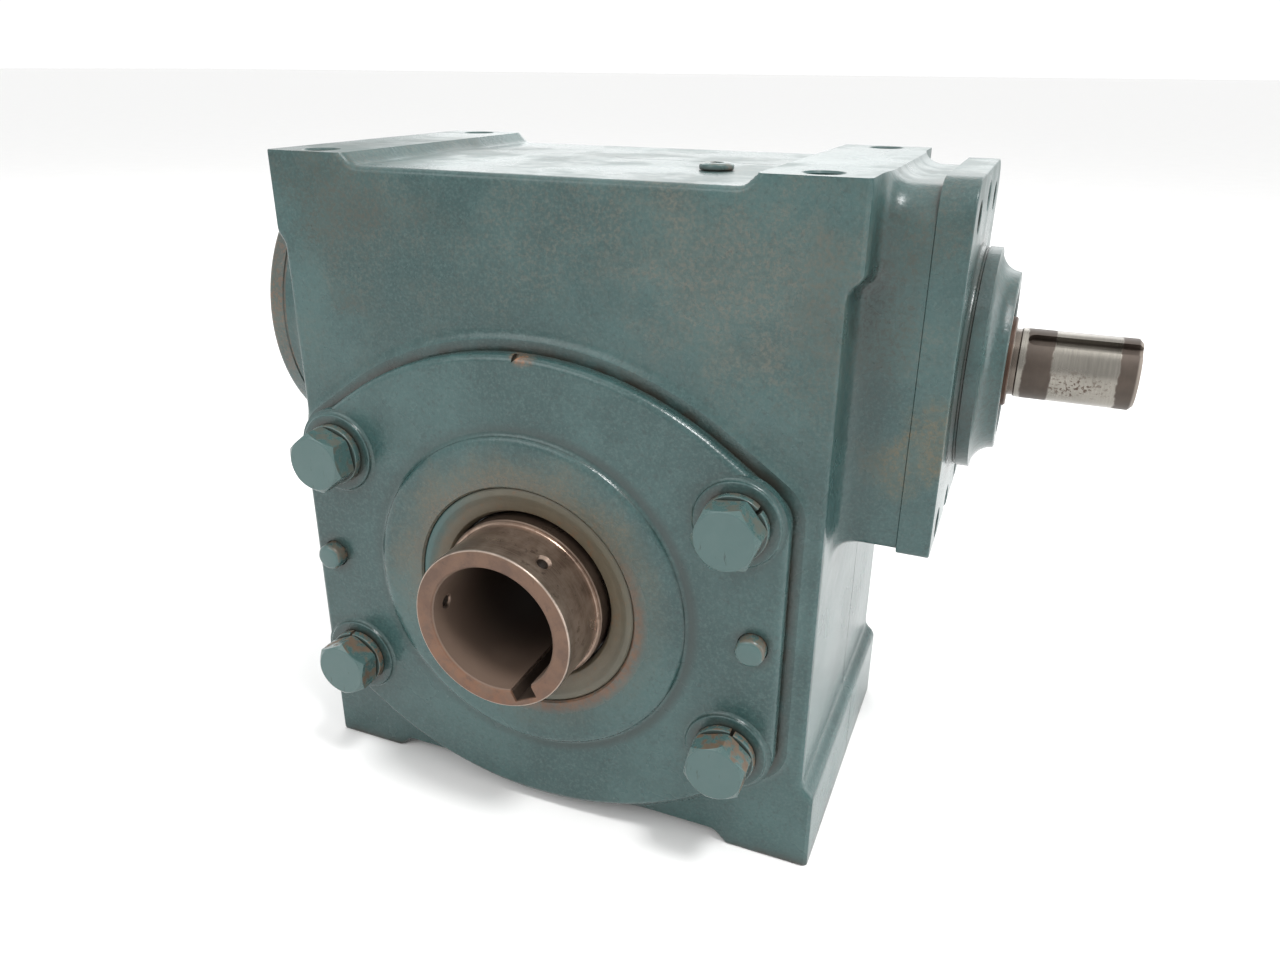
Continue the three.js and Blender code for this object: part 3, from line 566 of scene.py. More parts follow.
TEAL = (0.035, 0.08, 0.078)
TEAL_DARK = (0.017, 0.047, 0.046)
TEAL_PALE = (0.06, 0.105, 0.1)
DUST = (0.105, 0.1, 0.08)
# DIRT_AND_SHADE colours real dirt flecks and painted shade in corners; DEEP_TEAL_AND_SHADE colours random
# deep-teal mottling, scratches and painted shade in hollows
DIRT_AND_SHADE = (0.03, 0.024, 0.018)
DEEP_TEAL_AND_SHADE = (0.02, 0.034, 0.032)
FILM = (0.1, 0.082, 0.052)
BROWN = (0.042, 0.046, 0.036)
OCHRE = (0.11, 0.085, 0.045)
RUST = (0.2, 0.085, 0.035)
RUST_DARK = (0.07, 0.03, 0.018)


def paint_material(name, rust_ring_and_boss_shade=False, rust_amount=0.0, dusty=0.0, patches=()):
    """Teal machine enamel over cast iron: orange peel, mottling, dust, grime and painted shade in corners, painted
    shade in the hollows, and rust.
    patches are [centre, reach, colour, strength], in millimetres from the output axis; some are stains and some
    are painted shade."""
    g = Graph(name)
    mottle = g.band(g.noise(45, 5, 0.6), 0.35, 0.68)
    colour = g.mix(mottle, TEAL_DARK, TEAL)
    colour = g.over(colour, TEAL_PALE, g.band(g.noise(1.1, 3, 0.7), 0.4, 0.75), 0.55)
    colour = g.over(colour, DEEP_TEAL_AND_SHADE, g.band(g.noise(1.7, 4, 0.7, seed=0.2), 0.5, 0.72), 0.5)
    speck = g.band(g.noise(1.5, 6, 0.8, seed=0.37), 0.47, 0.6)
    upper = g.ramp(g.z, 20, 130)
    dust = g.times(g.band(g.noise(30, 4, 0.62, seed=0.11), 0.42, 0.62), upper)
    dust = g.math("MULTIPLY", dust, dusty, clamp=True)
    grain = g.plus(g.times(speck, 0.85), 0.1)
    colour = g.over(colour, DUST, dust, grain)
    for centre, reach, tint, strength in patches:
        smear = g.times(g.patch(centre, reach), g.plus(g.times(speck, 0.7), 0.3))
        colour = g.over(colour, tint, smear, strength)
    # painted shade: the hollows darkened towards deep teal
    colour = g.over(colour, DEEP_TEAL_AND_SHADE, g.crevice(14, 0.5, 0.9), 0.5)
    # grime and painted shade in tight corners, broken up by noise
    corner = g.times(g.crevice(5), g.band(g.noise(9, 3), 0.25, 0.6))
    colour = g.over(colour, DIRT_AND_SHADE, corner, 0.8)
    fleck = g.band(g.noise(3.2, 5, 0.7, seed=0.9), 0.69, 0.74)
    colour = g.over(colour, DIRT_AND_SHADE, fleck, 0.7)
    rust = g.times(g.band(g.noise(7, 5, 0.75, seed=0.53), 0.66 - 0.2 * rust_amount, 0.74), rust_amount)
    if rust_ring_and_boss_shade:
        rust = g.most(rust, seal_rust(g))
        colour = g.mix(seal_film(g, speck), colour, FILM)
        # painted shade round the foot of the cover's boss
        colour = g.mix(boss_shade(g), colour, DEEP_TEAL_AND_SHADE)
    colour = g.mix(rust, colour, g.mix(g.noise(3, 4), RUST_DARK, RUST))
    rough = g.plus(g.times(g.noise(30, 4), 0.16), 0.18)
    rough = g.math("ADD", rough, g.times(g.most(rust, dust), 0.35), clamp=True)
    normal = g.bump(g.noise(5.0, 3, 0.55), 0.22, 0.6)
    normal = g.bump(g.noise(1.3, 2, 0.5, seed=0.4), 0.1, 0.8, normal)
    return g.finish(colour, rough, normal)


def boss_shade(g):
    """Painted shade in the hollow round the foot of the cover's boss, most of it on the right."""
    ring = g.radius(g.x, g.z)
    foot = g.between(ring, BOSS_RADIUS + 0.3, BOSS_RADIUS + 1.5, BOSS_RADIUS + 2.2, BOSS_RADIUS + 6)
    return g.times(foot, g.ramp(g.x, -50, 50, 0.3, 0.85))


def seal_rust(g):
    """Rust creeping out from the edge of the seal's bore, most of it below."""
    ring, edge = g.radius(g.x, g.z), SEAL["outer"]
    near = g.between(ring, edge - 0.3, edge + 0.7, edge + 1.7, edge + 6.7)
    below = g.ramp(g.minus(g.times(g.x, 0.5), g.z), -30, 45, 0.15, 1)
    broken = g.band(g.noise(2, 6, 0.8, seed=0.2), 0.35, 0.6, 0.25, 1)
    return g.times(near, below, g.times(broken, 0.85))


def seal_film(g, speck):
    """A thin brown film round the seal, strongest above it and to its right."""
    ring = g.radius(g.x, g.z)
    wander = g.times(g.minus(g.noise(12, 4, 0.65, seed=0.66), 0.5), 26 * MM)
    near = g.ramp(g.plus(ring, wander), SEAL["outer"] + 2.7, BOSS_RADIUS - 0.5, 1, 0)
    above = g.ramp(g.plus(g.times(g.x, -0.3), g.z), -20, 40, 0.3, 1)
    grain = g.plus(g.times(speck, 0.45), 0.4)
    return g.times(near, above, grain)


def bolt_material(name):
    """The same enamel on the bolts, washers and pins, chipped to rust on the flats."""
    g = Graph(name)
    colour = g.mix(g.noise(9, 4, 0.6), TEAL, TEAL_PALE)
    colour = g.over(colour, TEAL_PALE, g.noise(1.2, 4, 0.7), 0.4)
    sides = g.band(g.facing("Y"), -0.85, -0.55)
    chips = g.band(g.noise(4.5, 5, 0.7, seed=0.31), 0.46, 0.56)
    lower = g.ramp(g.z, -30, 30, 0.85, 0.4)
    rust = g.times(chips, sides, lower)
    scratch = g.band(g.noise(1.4, 3, 0.6, stretch=(1, 1, 0.15), seed=0.5), 0.64, 0.7)
    colour = g.over(colour, DEEP_TEAL_AND_SHADE, scratch, 0.7)
    # painted shade in the corners of the bolts, washers and pins
    colour = g.over(colour, DIRT_AND_SHADE, g.crevice(3), 0.7)
    colour = g.mix(rust, colour, g.mix(g.noise(2, 4), RUST_DARK, (0.15, 0.1, 0.055)))
    rough = g.math("ADD", g.times(rust, 0.35), 0.27, clamp=True)
    normal = g.bump(g.noise(3.5, 3, 0.5), 0.12, 0.6)
    return g.finish(colour, rough, normal)


def oxide_steel(name):
    """Turned steel under a brown oxide skin: a sheen along the outside, rust on the end, painted shade down the
    bore and in the holes, and a painted highlight on the end's rim.
    """
    g = Graph(name)
    tip, bore_wall, skin = SHAFT["end"], SHAFT["bore"], SHAFT["outside"]
    ring, reach = g.radius(g.x, g.z), g.math("ABSOLUTE", g.y)
    outside = g.mix(g.band(g.noise(14, 5, 0.65), 0.35, 0.7), (0.185, 0.128, 0.098), (0.4, 0.3, 0.24))
    lines = g.noise(0.7, 3, 0.6, stretch=(0.04, 1, 0.04))
    outside = g.over(outside, (0.4, 0.33, 0.27), g.band(lines, 0.4, 0.65), 0.3)
    worn = g.band(g.noise(8, 5, 0.65, seed=0.45), 0.35, 0.65)
    end = g.mix(worn, (0.095, 0.058, 0.042), (0.135, 0.08, 0.054))
    low = g.ramp(g.plus(g.z, g.times(g.x, 0.4)), -36, 8, 1, 0)
    blotch = g.band(g.noise(5, 5, 0.7, seed=0.77), 0.42, 0.62)
    end = g.over(end, (0.175, 0.083, 0.046), low, blotch, 0.7)
    face = g.times(g.ramp(reach, tip - 1.1, tip - 0.7), g.ramp(ring, skin - 0.8, skin - 0.4, 1, 0))
    colour = g.mix(face, outside, end)
    # painted highlight: a light line on the outer chamfer of the shaft's end
    painted_rim_highlight = g.times(g.ramp(reach, tip - 0.8, tip - 0.5), g.ramp(ring, skin - 0.7, skin - 0.4))
    spots = g.band(g.noise(4, 5, 0.7, seed=0.6), 0.58, 0.68)
    colour = g.over(colour, (0.07, 0.045, 0.035), spots, 0.55)
    colour = g.over(colour, (0.5, 0.45, 0.4), painted_rim_highlight, 0.3)
    journal = g.ramp(ring, skin + 0.5, SHAFT["journal"] - 0.5)
    colour = g.over(colour, (0.08, 0.055, 0.04), journal, 0.75)
    # painted shade: the bore darkens from its mouth inwards
    depth = g.ramp(g.y, 2.7 - tip, -55)
    bore = g.mix(depth, (0.15, 0.105, 0.08), (0.035, 0.024, 0.018))
    inside = g.ramp(ring, bore_wall + 0.1, bore_wall + 0.5, 1, 0)
    colour = g.mix(inside, colour, bore)
    # painted shade on the walls of the keyway and the set-screw holes
    within = g.between(ring, bore_wall + 0.9, bore_wall + 1.3, skin - 1.2, skin - 0.8)
    shaded_walls = g.times(within, g.minus(1.0, face))
    colour = g.over(colour, (0.02, 0.014, 0.01), shaded_walls, 0.9)
    rough = g.plus(g.times(g.noise(10, 4), 0.22), 0.2)
    normal = g.bump(lines, 0.025, 0.5)
    normal = g.bump(g.noise(2.5, 4, 0.6), 0.05, 0.45, normal)
    dull = g.most(face, inside, shaded_walls)
    rough = g.plus(rough, g.times(dull, 0.15))
    metal = g.minus(0.85, g.times(dull, 0.75))
    g.put(g.minus(0.5, g.times(dull, 0.25)), g.shader.inputs["Specular IOR Level"])
    return g.finish(colour, rough, normal, metal)


def ground_steel(name):
    """The input shaft: ground bright, with brown bands near both ends and small dark pits."""
    g = Graph(name)
    start, end = INPUT_SHAFT["from"], INPUT_SHAFT["to"]
    lines = g.noise(0.35, 2, 0.5, stretch=(1, 0.05, 0.05))
    colour = g.mix(lines, (0.17, 0.16, 0.14), (0.28, 0.262, 0.232))
    around = g.band(g.noise(10, 2, 0.5, stretch=(0.3, 1, 1), seed=0.25), 0.3, 0.7, 0.82, 1.1)
    colour = g.scale(colour, around)
    wobble = g.times(g.minus(g.noise(5, 3, 0.6), 0.5), 2.4 * MM)
    along = g.plus(g.x, wobble)
    inner = g.between(along, start + 3.6, start + 4.4, start + 12.2, start + 12.9)
    outer = g.ramp(along, end - 6.5, end - 5.8)
    tip = g.ramp(g.x, end - 1.3, end - 0.7)
    collar = g.ramp(g.x, start - 0.3, start + 0.2, 1, 0)
    pits = g.times(g.band(g.noise(1.3, 4, 0.7, seed=0.8), 0.52, 0.58),
                   g.patch((start + 20, -11, CENTRE_DISTANCE - 3), (11, 9, 6)))
    stain = g.most(inner, outer)
    brown = g.mix(g.noise(2.5, 4), (0.03, 0.02, 0.014), (0.065, 0.045, 0.034))
    colour = g.over(colour, brown, stain, 0.9)
    colour = g.over(colour, (0.3, 0.26, 0.22), tip, 0.5)
    colour = g.over(colour, (0.07, 0.045, 0.035), pits, 0.85)
    undercut = g.between(g.x, start, start + 0.4, start + 1.8, start + 2.6)
    colour = g.over(colour, (0.09, 0.06, 0.045), undercut, 0.5)
    colour = g.mix(collar, colour, g.mix(g.noise(3, 4), (0.035, 0.022, 0.016), (0.1, 0.055, 0.035)))
    # painted shade in the shaft's corners
    colour = g.over(colour, (0.04, 0.028, 0.022), g.crevice(4, 0.3, 0.8), 0.7)
    marks = g.most(stain, pits, collar)
    rough = g.plus(g.times(marks, 0.25), 0.26)
    normal = g.bump(lines, 0.015, 0.4)
    metal = g.minus(0.95, g.times(g.most(stain, collar), 0.4))
    return g.finish(colour, rough, normal, metal)


def bearing_steel(name):
    g = Graph(name)
    lines = g.noise(0.4, 2, 0.5, stretch=(0.08, 0.08, 1))
    colour = g.mix(lines, (0.42, 0.43, 0.45), (0.6, 0.61, 0.63))
    colour = g.mix(g.band(g.noise(6, 4, 0.7), 0.6, 0.75), colour, (0.2, 0.17, 0.13))
    rough = g.plus(g.times(g.noise(8, 3), 0.15), 0.22)
    return g.finish(colour, rough, g.bump(lines, 0.01, 0.4), 0.95)


def screw_steel(name):
    """Blackened alloy steel with an oily sheen and a little rust."""
    g = Graph(name)
    colour = g.mix(g.noise(3, 4, 0.6), (0.02, 0.02, 0.022), (0.06, 0.055, 0.05))
    colour = g.mix(g.band(g.noise(2.5, 5, 0.7, seed=0.3), 0.6, 0.7), colour, (0.14, 0.07, 0.035))
    rough = g.plus(g.times(g.noise(2, 3), 0.2), 0.35)
    return g.finish(colour, rough, g.bump(g.noise(0.8, 3), 0.03, 0.5), 0.7)


def bronze(name):
    g = Graph(name)
    marks = g.noise(0.6, 3, 0.6, stretch=(0.2, 1, 0.2))
    colour = g.mix(marks, (0.42, 0.25, 0.09), (0.66, 0.43, 0.17))
    colour = g.mix(g.band(g.noise(12, 4), 0.5, 0.75), colour, (0.24, 0.14, 0.06))
    rough = g.plus(g.times(g.noise(5, 3), 0.2), 0.25)
    return g.finish(colour, rough, g.bump(marks, 0.02, 0.5), 0.9)


def raw_iron(name):
    g = Graph(name)
    colour = g.mix(g.noise(4, 5, 0.65), (0.04, 0.04, 0.042), (0.11, 0.105, 0.1))
    rough = g.plus(g.times(g.noise(3, 3), 0.25), 0.5)
    return g.finish(colour, rough, g.bump(g.noise(1.6, 4, 0.6), 0.12, 0.8), 0.6)


def seal_face(name):
    """A pressed seal case, painted over at its rim and rusty near the shaft, with a black rubber lip."""
    g = Graph(name)
    ring = g.radius(g.x, g.z)
    rough_edge = g.times(g.minus(g.noise(7, 4, 0.65), 0.5), 5 * MM)
    case = g.mix(g.noise(5, 5, 0.7), (0.075, 0.062, 0.042), (0.125, 0.105, 0.07))
    case = g.mix(g.band(g.noise(3, 5, 0.7, seed=0.7), 0.55, 0.7), case, (0.13, 0.075, 0.04))
    overspray = g.ramp(g.plus(ring, rough_edge), SEAL["window"] + 2.3, SEAL["outer"] - 1.3)
    shaded = g.ramp(g.plus(g.x, g.times(g.z, 0.35)), -30, 5, 1, 0.15)
    colour = g.over(case, g.mix(g.noise(3, 4), TEAL, TEAL_PALE), overspray, shaded)
    colour = g.mix(g.ramp(ring, SEAL["lip"] + 0.3, SEAL["lip"] + 0.6), (0.01, 0.009, 0.008), colour)
    rough = g.plus(g.times(g.noise(3, 3), 0.2), 0.4)
    return g.finish(colour, rough, g.bump(g.noise(1.8, 3), 0.06, 0.6), 0.1)


def rubber(name):
    g = Graph(name)
    colour = g.mix(g.noise(3, 4), (0.012, 0.011, 0.01), (0.045, 0.035, 0.028))
    rough = g.plus(g.times(g.noise(2, 3), 0.2), 0.55)
    return g.finish(colour, rough, g.bump(g.noise(0.9, 3), 0.04, 0.6))


def gasket_paper(name):
    g = Graph(name)
    colour = g.mix(g.noise(1.2, 5, 0.7), (0.09, 0.07, 0.045), (0.2, 0.16, 0.11))
    rough = g.plus(g.times(g.noise(2, 3), 0.2), 0.65)
    return g.finish(colour, rough, g.bump(g.noise(0.7, 4), 0.05, 0.7))


def floor_material(name):
    g = Graph(name)
    colour = g.mix(g.noise(60, 4), (0.84, 0.84, 0.835), (0.88, 0.88, 0.875))
    rough = g.plus(g.times(g.noise(40, 3), 0.1), 0.6)
    return g.finish(colour, rough, g.bump(g.noise(50, 3), 0.5, 0.15))


# ---- Pieces ----
def finished(piece, material, body, slot, *replaced, angle=32, weighted=True):
    """Gives a piece its material, its body and the CAD node that it stands for."""
    piece.data.materials.clear()
    piece.data.materials.append(material)
    smooth_shade(piece, angle, weighted)
    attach(piece, body)
    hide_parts(*(replaced or (piece.name.removesuffix("_visual"),)))
    return piece


def make_housing():
    step = 1.2
    cast = Casting((-112, -70, -102), (132, 80, 159), step)
    x, y, z = cast.x, cast.y, cast.z
    up = z - CENTRE_DISTANCE
    depth = BODY["half_depth"]
    cast.add(rounded_slab(outline_distance(body_outline(), x, z), y, -depth, depth, BODY["edge"]))
    pad = rounded_slab(outline_distance(cover_outline(2.5), x, z), y, COVER_Y["housing"] - 1, 0, 1.0)
    cast.add(pad, 5.0)
    rear = rounded_slab(np.sqrt(x * x + z * z) - BOSS_RADIUS, y, 0, -COVER_Y["boss"] + 1, 2.0)
    cast.add(rear, 7.0)
    neck = rounded_slab(outline_distance(upright_rectangle(NECK), y, up), x, 84, NECK["to"] + 6, 1.0)
    cast.add(neck, 9.0)
    boss = rounded_slab(np.sqrt(y * y + up * up) - END_BOSS["radius"], x, END_BOSS["face"] - 3, 0, 1.0)
    cast.add(boss, 6.0)
    piece = cast.mesh("housing_visual")

    far = 200
    centre = (0, 0, CENTRE_DISTANCE)
    face_cuts = [
        box_piece("cut", (-far, -far, FEET["top"]), (far, far, far)),
        box_piece("cut", (-far, -far, -far), (far, far, FEET["bottom"])),
        box_piece("cut", (-far, -far, -far), (far, COVER_Y["housing"], far)),
        box_piece("cut", (NECK["to"], -far, -far), (far, far, far)),
        box_piece("cut", (-far, -far, -far), (END_BOSS["face"], far, far)),
        box_piece("cut", (-far, -COVER_Y["boss"], -far), (far, far, far)),
    ]
    bores = [
        cylinder("cut", PILOT_RADIUS, -80, 46, segments=FINE),
        cylinder("cut", BEARING_SEAT, 30, 62, segments=128),
        cylinder("cut", SEAL["outer"] + GAP, 61, 90, segments=128),
        cylinder("cut", WORM_BORE["clear"], -84, 108, "X", centre, MEDIUM),
        cylinder("cut", WORM_BORE["spigot"], 107, 140, "X", centre, MEDIUM),
        cylinder("cut", WORM_BORE["bearing"], -120, -89.2, "X", centre, MEDIUM),
        cylinder("cut", WORM_BORE["relief"], -90, -83, "X", centre, MEDIUM),
    ]
    holes = [
        countersunk("cut", FOOT_HOLES["radius"], face, -math.copysign(FOOT_HOLES["depth"], face),
                    along="Z", centre=(hx, hy, 0))
        for hx in FOOT_HOLES["x"] for hy in FOOT_HOLES["y"] for face in (FEET["top"], FEET["bottom"])
    ]
    holes += cover_holes(-80, -42, -51)
    holes += screw_holes(flange_screw_places(), 108, 130)
    holes += screw_holes(end_screw_places(), -120, -93)
    holes += [cylinder("cut", 4.7, 110, 160, "Z", (VENT["x"], VENT["y"], 0), 32)]
    holes += [cylinder("cut", 6.5, 40, 80, centre=(px, 0, pz), segments=32)
              for px, pz in ((0, -PLUG_CIRCLE), (-PLUG_CIRCLE, 0))]
    return cut(piece, *face_cuts, *bores, *holes, *parting_lines())


def parting_lines():
    """The thin seam left where the two halves of the mould met."""
    side, depth = PARTING["y"], PARTING["depth"]
    low, high = side - PARTING["width"] / 2, side + PARTING["width"] / 2
    faces = [
        ((BODY["right"], FOOT_SHANK["bottom"]), (BODY["right"], NECK["bottom"] + CENTRE_DISTANCE - 8)),
        ((FEET["right"], FEET["bottom"]), (FEET["right"], FOOT_SHANK["bottom"] - FEET["slope"])),
        ((BODY["left"], FOOT_SHANK["bottom"]), (BODY["left"], CENTRE_DISTANCE - END_BOSS["radius"] - 3)),
        ((FOOT_INNER[0], FEET["top"] - FEET["height"]), (FOOT_INNER[1], FEET["top"] - FEET["height"])),
    ]
    return [box_piece("cut", (x0 - depth, low, z0 - depth), (x1 + depth, high, z1 + depth))
            for (x0, z0), (x1, z1) in faces]


def flange_screw_places():
    across, up = FLANGE_SCREWS
    return [(y, z) for y in (-across, across) for z in (-up, up)]


def end_screw_places():
    angles = [math.radians(a) for a in (45, 135, 225, 315)]
    return [(END_SCREW_CIRCLE * math.cos(a), END_SCREW_CIRCLE * math.sin(a)) for a in angles]


def screw_holes(places, start, end):
    return [cylinder("cut", SOCKET_SCREW["hole"], start, end, "X", (0, hy, CENTRE_DISTANCE + hz), 24)
            for hy, hz in places]


def cover_holes(start, bolt_end, dowel_end):
    """Cutters for the cover's four bolts and its two pins."""
    bolts = [cylinder("cut", BOLT["shank"] + GAP, start, bolt_end, centre=(bx, 0, bz), segments=32)
             for bx, bz, _ in BOLTS.values()]
    pins = [cylinder("cut", DOWEL["radius"] + GAP, start, dowel_end, centre=(x, 0, 0), segments=32)
            for x in (-DOWEL["x"], DOWEL["x"])]
    return bolts + pins


def skirted_boss(name, radius, face, plate, skirt, edge, shoulder,
                 centre=(0, 0, 0), segments=128, ease=2.2):
    """A round boss raised on the cover, with a rounded rim and a soft foot that runs into the plate.
    The rim falls by edge over the width of its shoulder; the foot is as wide as the skirt."""
    height = plate - face
    profile = [(plate + 3, 0), (plate + 3, radius + skirt), (plate + 0.02, radius + skirt)]
    steps = 8
    for k in range(steps + 1):
        share = k / steps
        rise = (height - edge) * share ** ease
        profile.append((plate + 0.02 - rise, radius + skirt * (1 - share) ** 1.4))
    for k in range(1, 6):
        turn = math.pi / 2 * k / 5
        profile.append((face + edge * (1 - math.sin(turn)), radius - shoulder * (1 - math.cos(turn))))
    profile.append((face, 0))
    return solid_of(name, profile, centre=centre, segments=segments)


def make_front_cover():
    edge = 2.6
    levels = [(COVER_Y["back"], 0.3), (COVER_Y["back"] - 0.3, 0.0)]
    for k in range(7):
        turn = math.pi / 2 * k / 6
        levels.append((COVER_Y["face"] + edge * (1 - math.sin(turn)), edge * (1 - math.cos(turn))))
    piece = prism("front_cover_visual", lambda inset: cover_outline(-inset), levels, along_y)
    boss = skirted_boss("boss", BOSS_RADIUS, COVER_Y["boss"], COVER_Y["face"], 2.0, 1.5, 3.6, segments=FINE,
                        ease=1.7)
    seats = [skirted_boss("seat", BOLT["seat"], COVER_Y["seat"], COVER_Y["face"], 1.6, 0.6, 0.6,
                          centre=(bx, 0, bz), segments=64) for bx, bz, _ in BOLTS.values()]
    hub = turned("hub", [
        (-68, 40), (-68, PILOT_RADIUS - GAP), (-60.5, PILOT_RADIUS - GAP), (-60, PILOT_RADIUS - 0.8),
        (-60, 60), (-58, 58), (-44.5, 58), (-44, 57.5), (-44, 40),
    ], FINE)
    join(piece, hub, boss, *seats)
    bores = [
        solid_of("cut", [
            (-80, 0), (-80, SEAL["outer"] + 1.3), (COVER_Y["boss"], SEAL["outer"] + 1.0),
            (COVER_Y["boss"] + 0.7, SEAL["outer"] + GAP), (-62, SEAL["outer"] + GAP),
            (-62, BEARING_SEAT), (-30, BEARING_SEAT), (-30, 0),
        ], segments=FINE),
    ]
    bores += cover_holes(-90, -50, -50)
    chip = cylinder("cut", 5.4, -84, -68.0, centre=(0.5, 0, 94.0), segments=3)
    bores.append(spin(chip, 24, "X", (0, -70, 91)))
    return cut(piece, *bores)


def make_input_flange():
    edge, joint = 0.7, 0.2
    start, end = FLANGE["from"], FLANGE["to"]
    levels = [(start, joint), (start + joint, 0)]
    for k in range(4):
        turn = math.pi / 2 * k / 3
        levels.append((end - edge * (1 - math.sin(turn)), edge * (1 - math.cos(turn))))
    piece = prism("input_flange_visual", lambda inset: upright_rectangle(FLANGE, inset), levels, along_x)
    drop, run = HUB["radius"] - HUB["nose"], HUB["face"] - HUB["step"]
    sweep = [(HUB["face"] - run * math.cos(a), HUB["radius"] - drop * math.sin(a))
             for a in (math.pi / 2 * k / 14 for k in range(15))]
    radius, spigot = HUB["radius"], WORM_BORE["spigot"] - GAP
    hub = turned("hub", [
        (112, 25), (112, spigot - 0.5), (112.5, spigot), (end - 1, spigot), (end - 1, radius + 1.2),
        (end + 0.02, radius + 1.2), (end + 0.35, radius + 0.4), (end + 1.0, radius), (138.6, radius),
        (138.9, radius - 0.5), (139.4, radius - 0.5), (139.7, radius), *sweep[:-1],
        (HUB["face"] - 0.4, HUB["nose"]),
        (HUB["face"], HUB["nose"] - 0.4), (HUB["face"], 12), (130, 12), (130, 25),
    ], FINE, "X", (0, 0, CENTRE_DISTANCE))
    join(piece, hub)
    centre = (0, 0, CENTRE_DISTANCE)
    bores = [solid_of("cut", [
        (100, 0), (100, WORM_BORE["bearing"]), (133, WORM_BORE["bearing"]), (133, 20), (140.5, 20),
        (140.5, 24.3), (HUB["face"] - 0.5, 24.3), (HUB["face"] + 0.5, 25.3), (170, 25.3), (170, 0),
    ], segments=MEDIUM, along="X", centre=centre)]
    for hy, hz in flange_screw_places():
        spot = (0, hy, CENTRE_DISTANCE + hz)
        bores.append(cylinder("cut", SOCKET_SCREW["hole"], 120, 140, "X", spot, 32))
        bores.append(countersunk("cut", SOCKET_SCREW["head_hole"], end, -7.5, 0.25, "X", spot))
    bores += [countersunk("cut", 4.9, end, -9, 0.4, "X", (0, 0, CENTRE_DISTANCE + side * FLANGE_TAPS))
              for side in (-1, 1)]
    return cut(piece, *bores)


def make_end_cap():
    rim = END_BOSS["radius"]
    cap, seat = END_BOSS["cap"], END_BOSS["gasket"]
    piece = solid_of("end_cap_visual", [
        (cap, 0), (cap, rim - 2.2), (cap + 0.5, rim - 1.0), (cap + 1.4, rim - 0.2), (cap + 2.4, rim),
        (seat - 0.4, rim), (seat, rim - 0.4), (seat, 30.8), (-106.4, 30.8), (-106, 30.4), (-106, 24),
        (seat - 1, 24), (seat - 1, 0),
    ], segments=FINE, along="X", centre=(0, 0, CENTRE_DISTANCE))
    cutters = []
    for hy, hz in end_screw_places():
        spot = (0, hy, CENTRE_DISTANCE + hz)
        cutters += [cylinder("cut", SOCKET_SCREW["hole"], -120, -100, "X", spot, 32),
                    countersunk("cut", SOCKET_SCREW["head_hole"], cap, 4.8, 0.3, "X", spot)]
    return cut(piece, *cutters)


def make_end_gasket():
    """The joint under the end cap, filled out and painted over like the cap."""
    outer, inner = END_BOSS["radius"] - 0.35, 33.0
    ring = turned("end_cap_gasket_visual", [
        (END_BOSS["gasket"] + 0.05, inner), (END_BOSS["gasket"] + 0.05, outer),
        (END_BOSS["face"] - 0.05, outer), (END_BOSS["face"] - 0.05, inner),
    ], FINE, "X", (0, 0, CENTRE_DISTANCE))
    return cut(ring, *screw_holes(end_screw_places(), -112, -100))


def make_bolt(name, x, z, turn):
    under = COVER_Y["seat"] - BOLT["washer"] - 0.6
    top = under - BOLT["head"]
    flat = BOLT["across"] / 2
    point = flat / math.cos(math.pi / 6)
    angles = [math.radians(turn + 60 * k) for k in range(6)]
    corners = [(point * math.cos(a), point * math.sin(a)) for a in angles]
    head = prism(name, lambda inset: filleted([(u, v, 0.5) for u, v in corners], 0.4),
                 [(under, 0), (top, 0)], lambda d, u, v: (x + u, d, z + v))
    crown = solid_of("crown", [
        (under, 0), (under, point - 0.9), (under - 0.6, point + 0.1), (top + 1.75, point + 0.1),
        (top + 0.25, flat * 0.985), (top, flat * 0.94), (top, 0),
    ], centre=(x, 0, z), segments=MEDIUM)
    combine(head, "INTERSECT", [crown])
    shank = solid_of("shank", [
        (under - 1, 0), (under - 1, BOLT["shank"]), (-45, BOLT["shank"]), (-44, BOLT["shank"] - 1),
        (-44, 0),
    ], centre=(x, 0, z), segments=48)
    return join(head, shank)


def make_washer(name, x, z, turn):
    """A split lock washer: a square section wound once round with its two cut ends slightly apart."""
    inner, outer = BOLT["shank"] + GAP, BOLT["washer_radius"]
    back = COVER_Y["seat"] - 0.3
    front = back - BOLT["washer"]
    section = filleted([(inner, back, 0.3), (inner, front + 0.45, 0.3), (outer, front + 0.45, 0.5),
                        (outer, back, 0.3)], 0.6)
    steps = 72
    gap = math.radians(7)
    points = []
    for k in range(steps + 1):
        share = k / steps
        angle = math.radians(turn * 3 + 20) + gap / 2 + share * (2 * math.pi - gap)
        lift = 0.45 * abs(2 * share - 1) ** 6 * (1 if share > 0.5 else 0)
        points += [(x + r * math.cos(angle), d - lift, z + r * math.sin(angle)) for r, d in section]
    count = len(section)
    faces = [tuple(range(count)), tuple(range(steps * count + count - 1, steps * count - 1, -1))]
    for k in range(steps):
        for i in range(count):
            n = (i + 1) % count
            faces.append((k * count + i, (k + 1) * count + i, (k + 1) * count + n, k * count + n))
    return tidy_mesh(make_piece(name, points, faces))


def make_dowel(name, side):
    radius = DOWEL["radius"]
    return solid_of(name, [
        (DOWEL["from"], 0), (DOWEL["from"], radius - 1.6), (DOWEL["from"] + 0.35, radius - 0.7),
        (DOWEL["from"] + 1.1, radius - 0.1), (DOWEL["from"] + 1.8, radius),
        (DOWEL["to"] - 1, radius), (DOWEL["to"], radius - 1), (DOWEL["to"], 0),
    ], centre=(side * DOWEL["x"], 0, 0), segments=48)


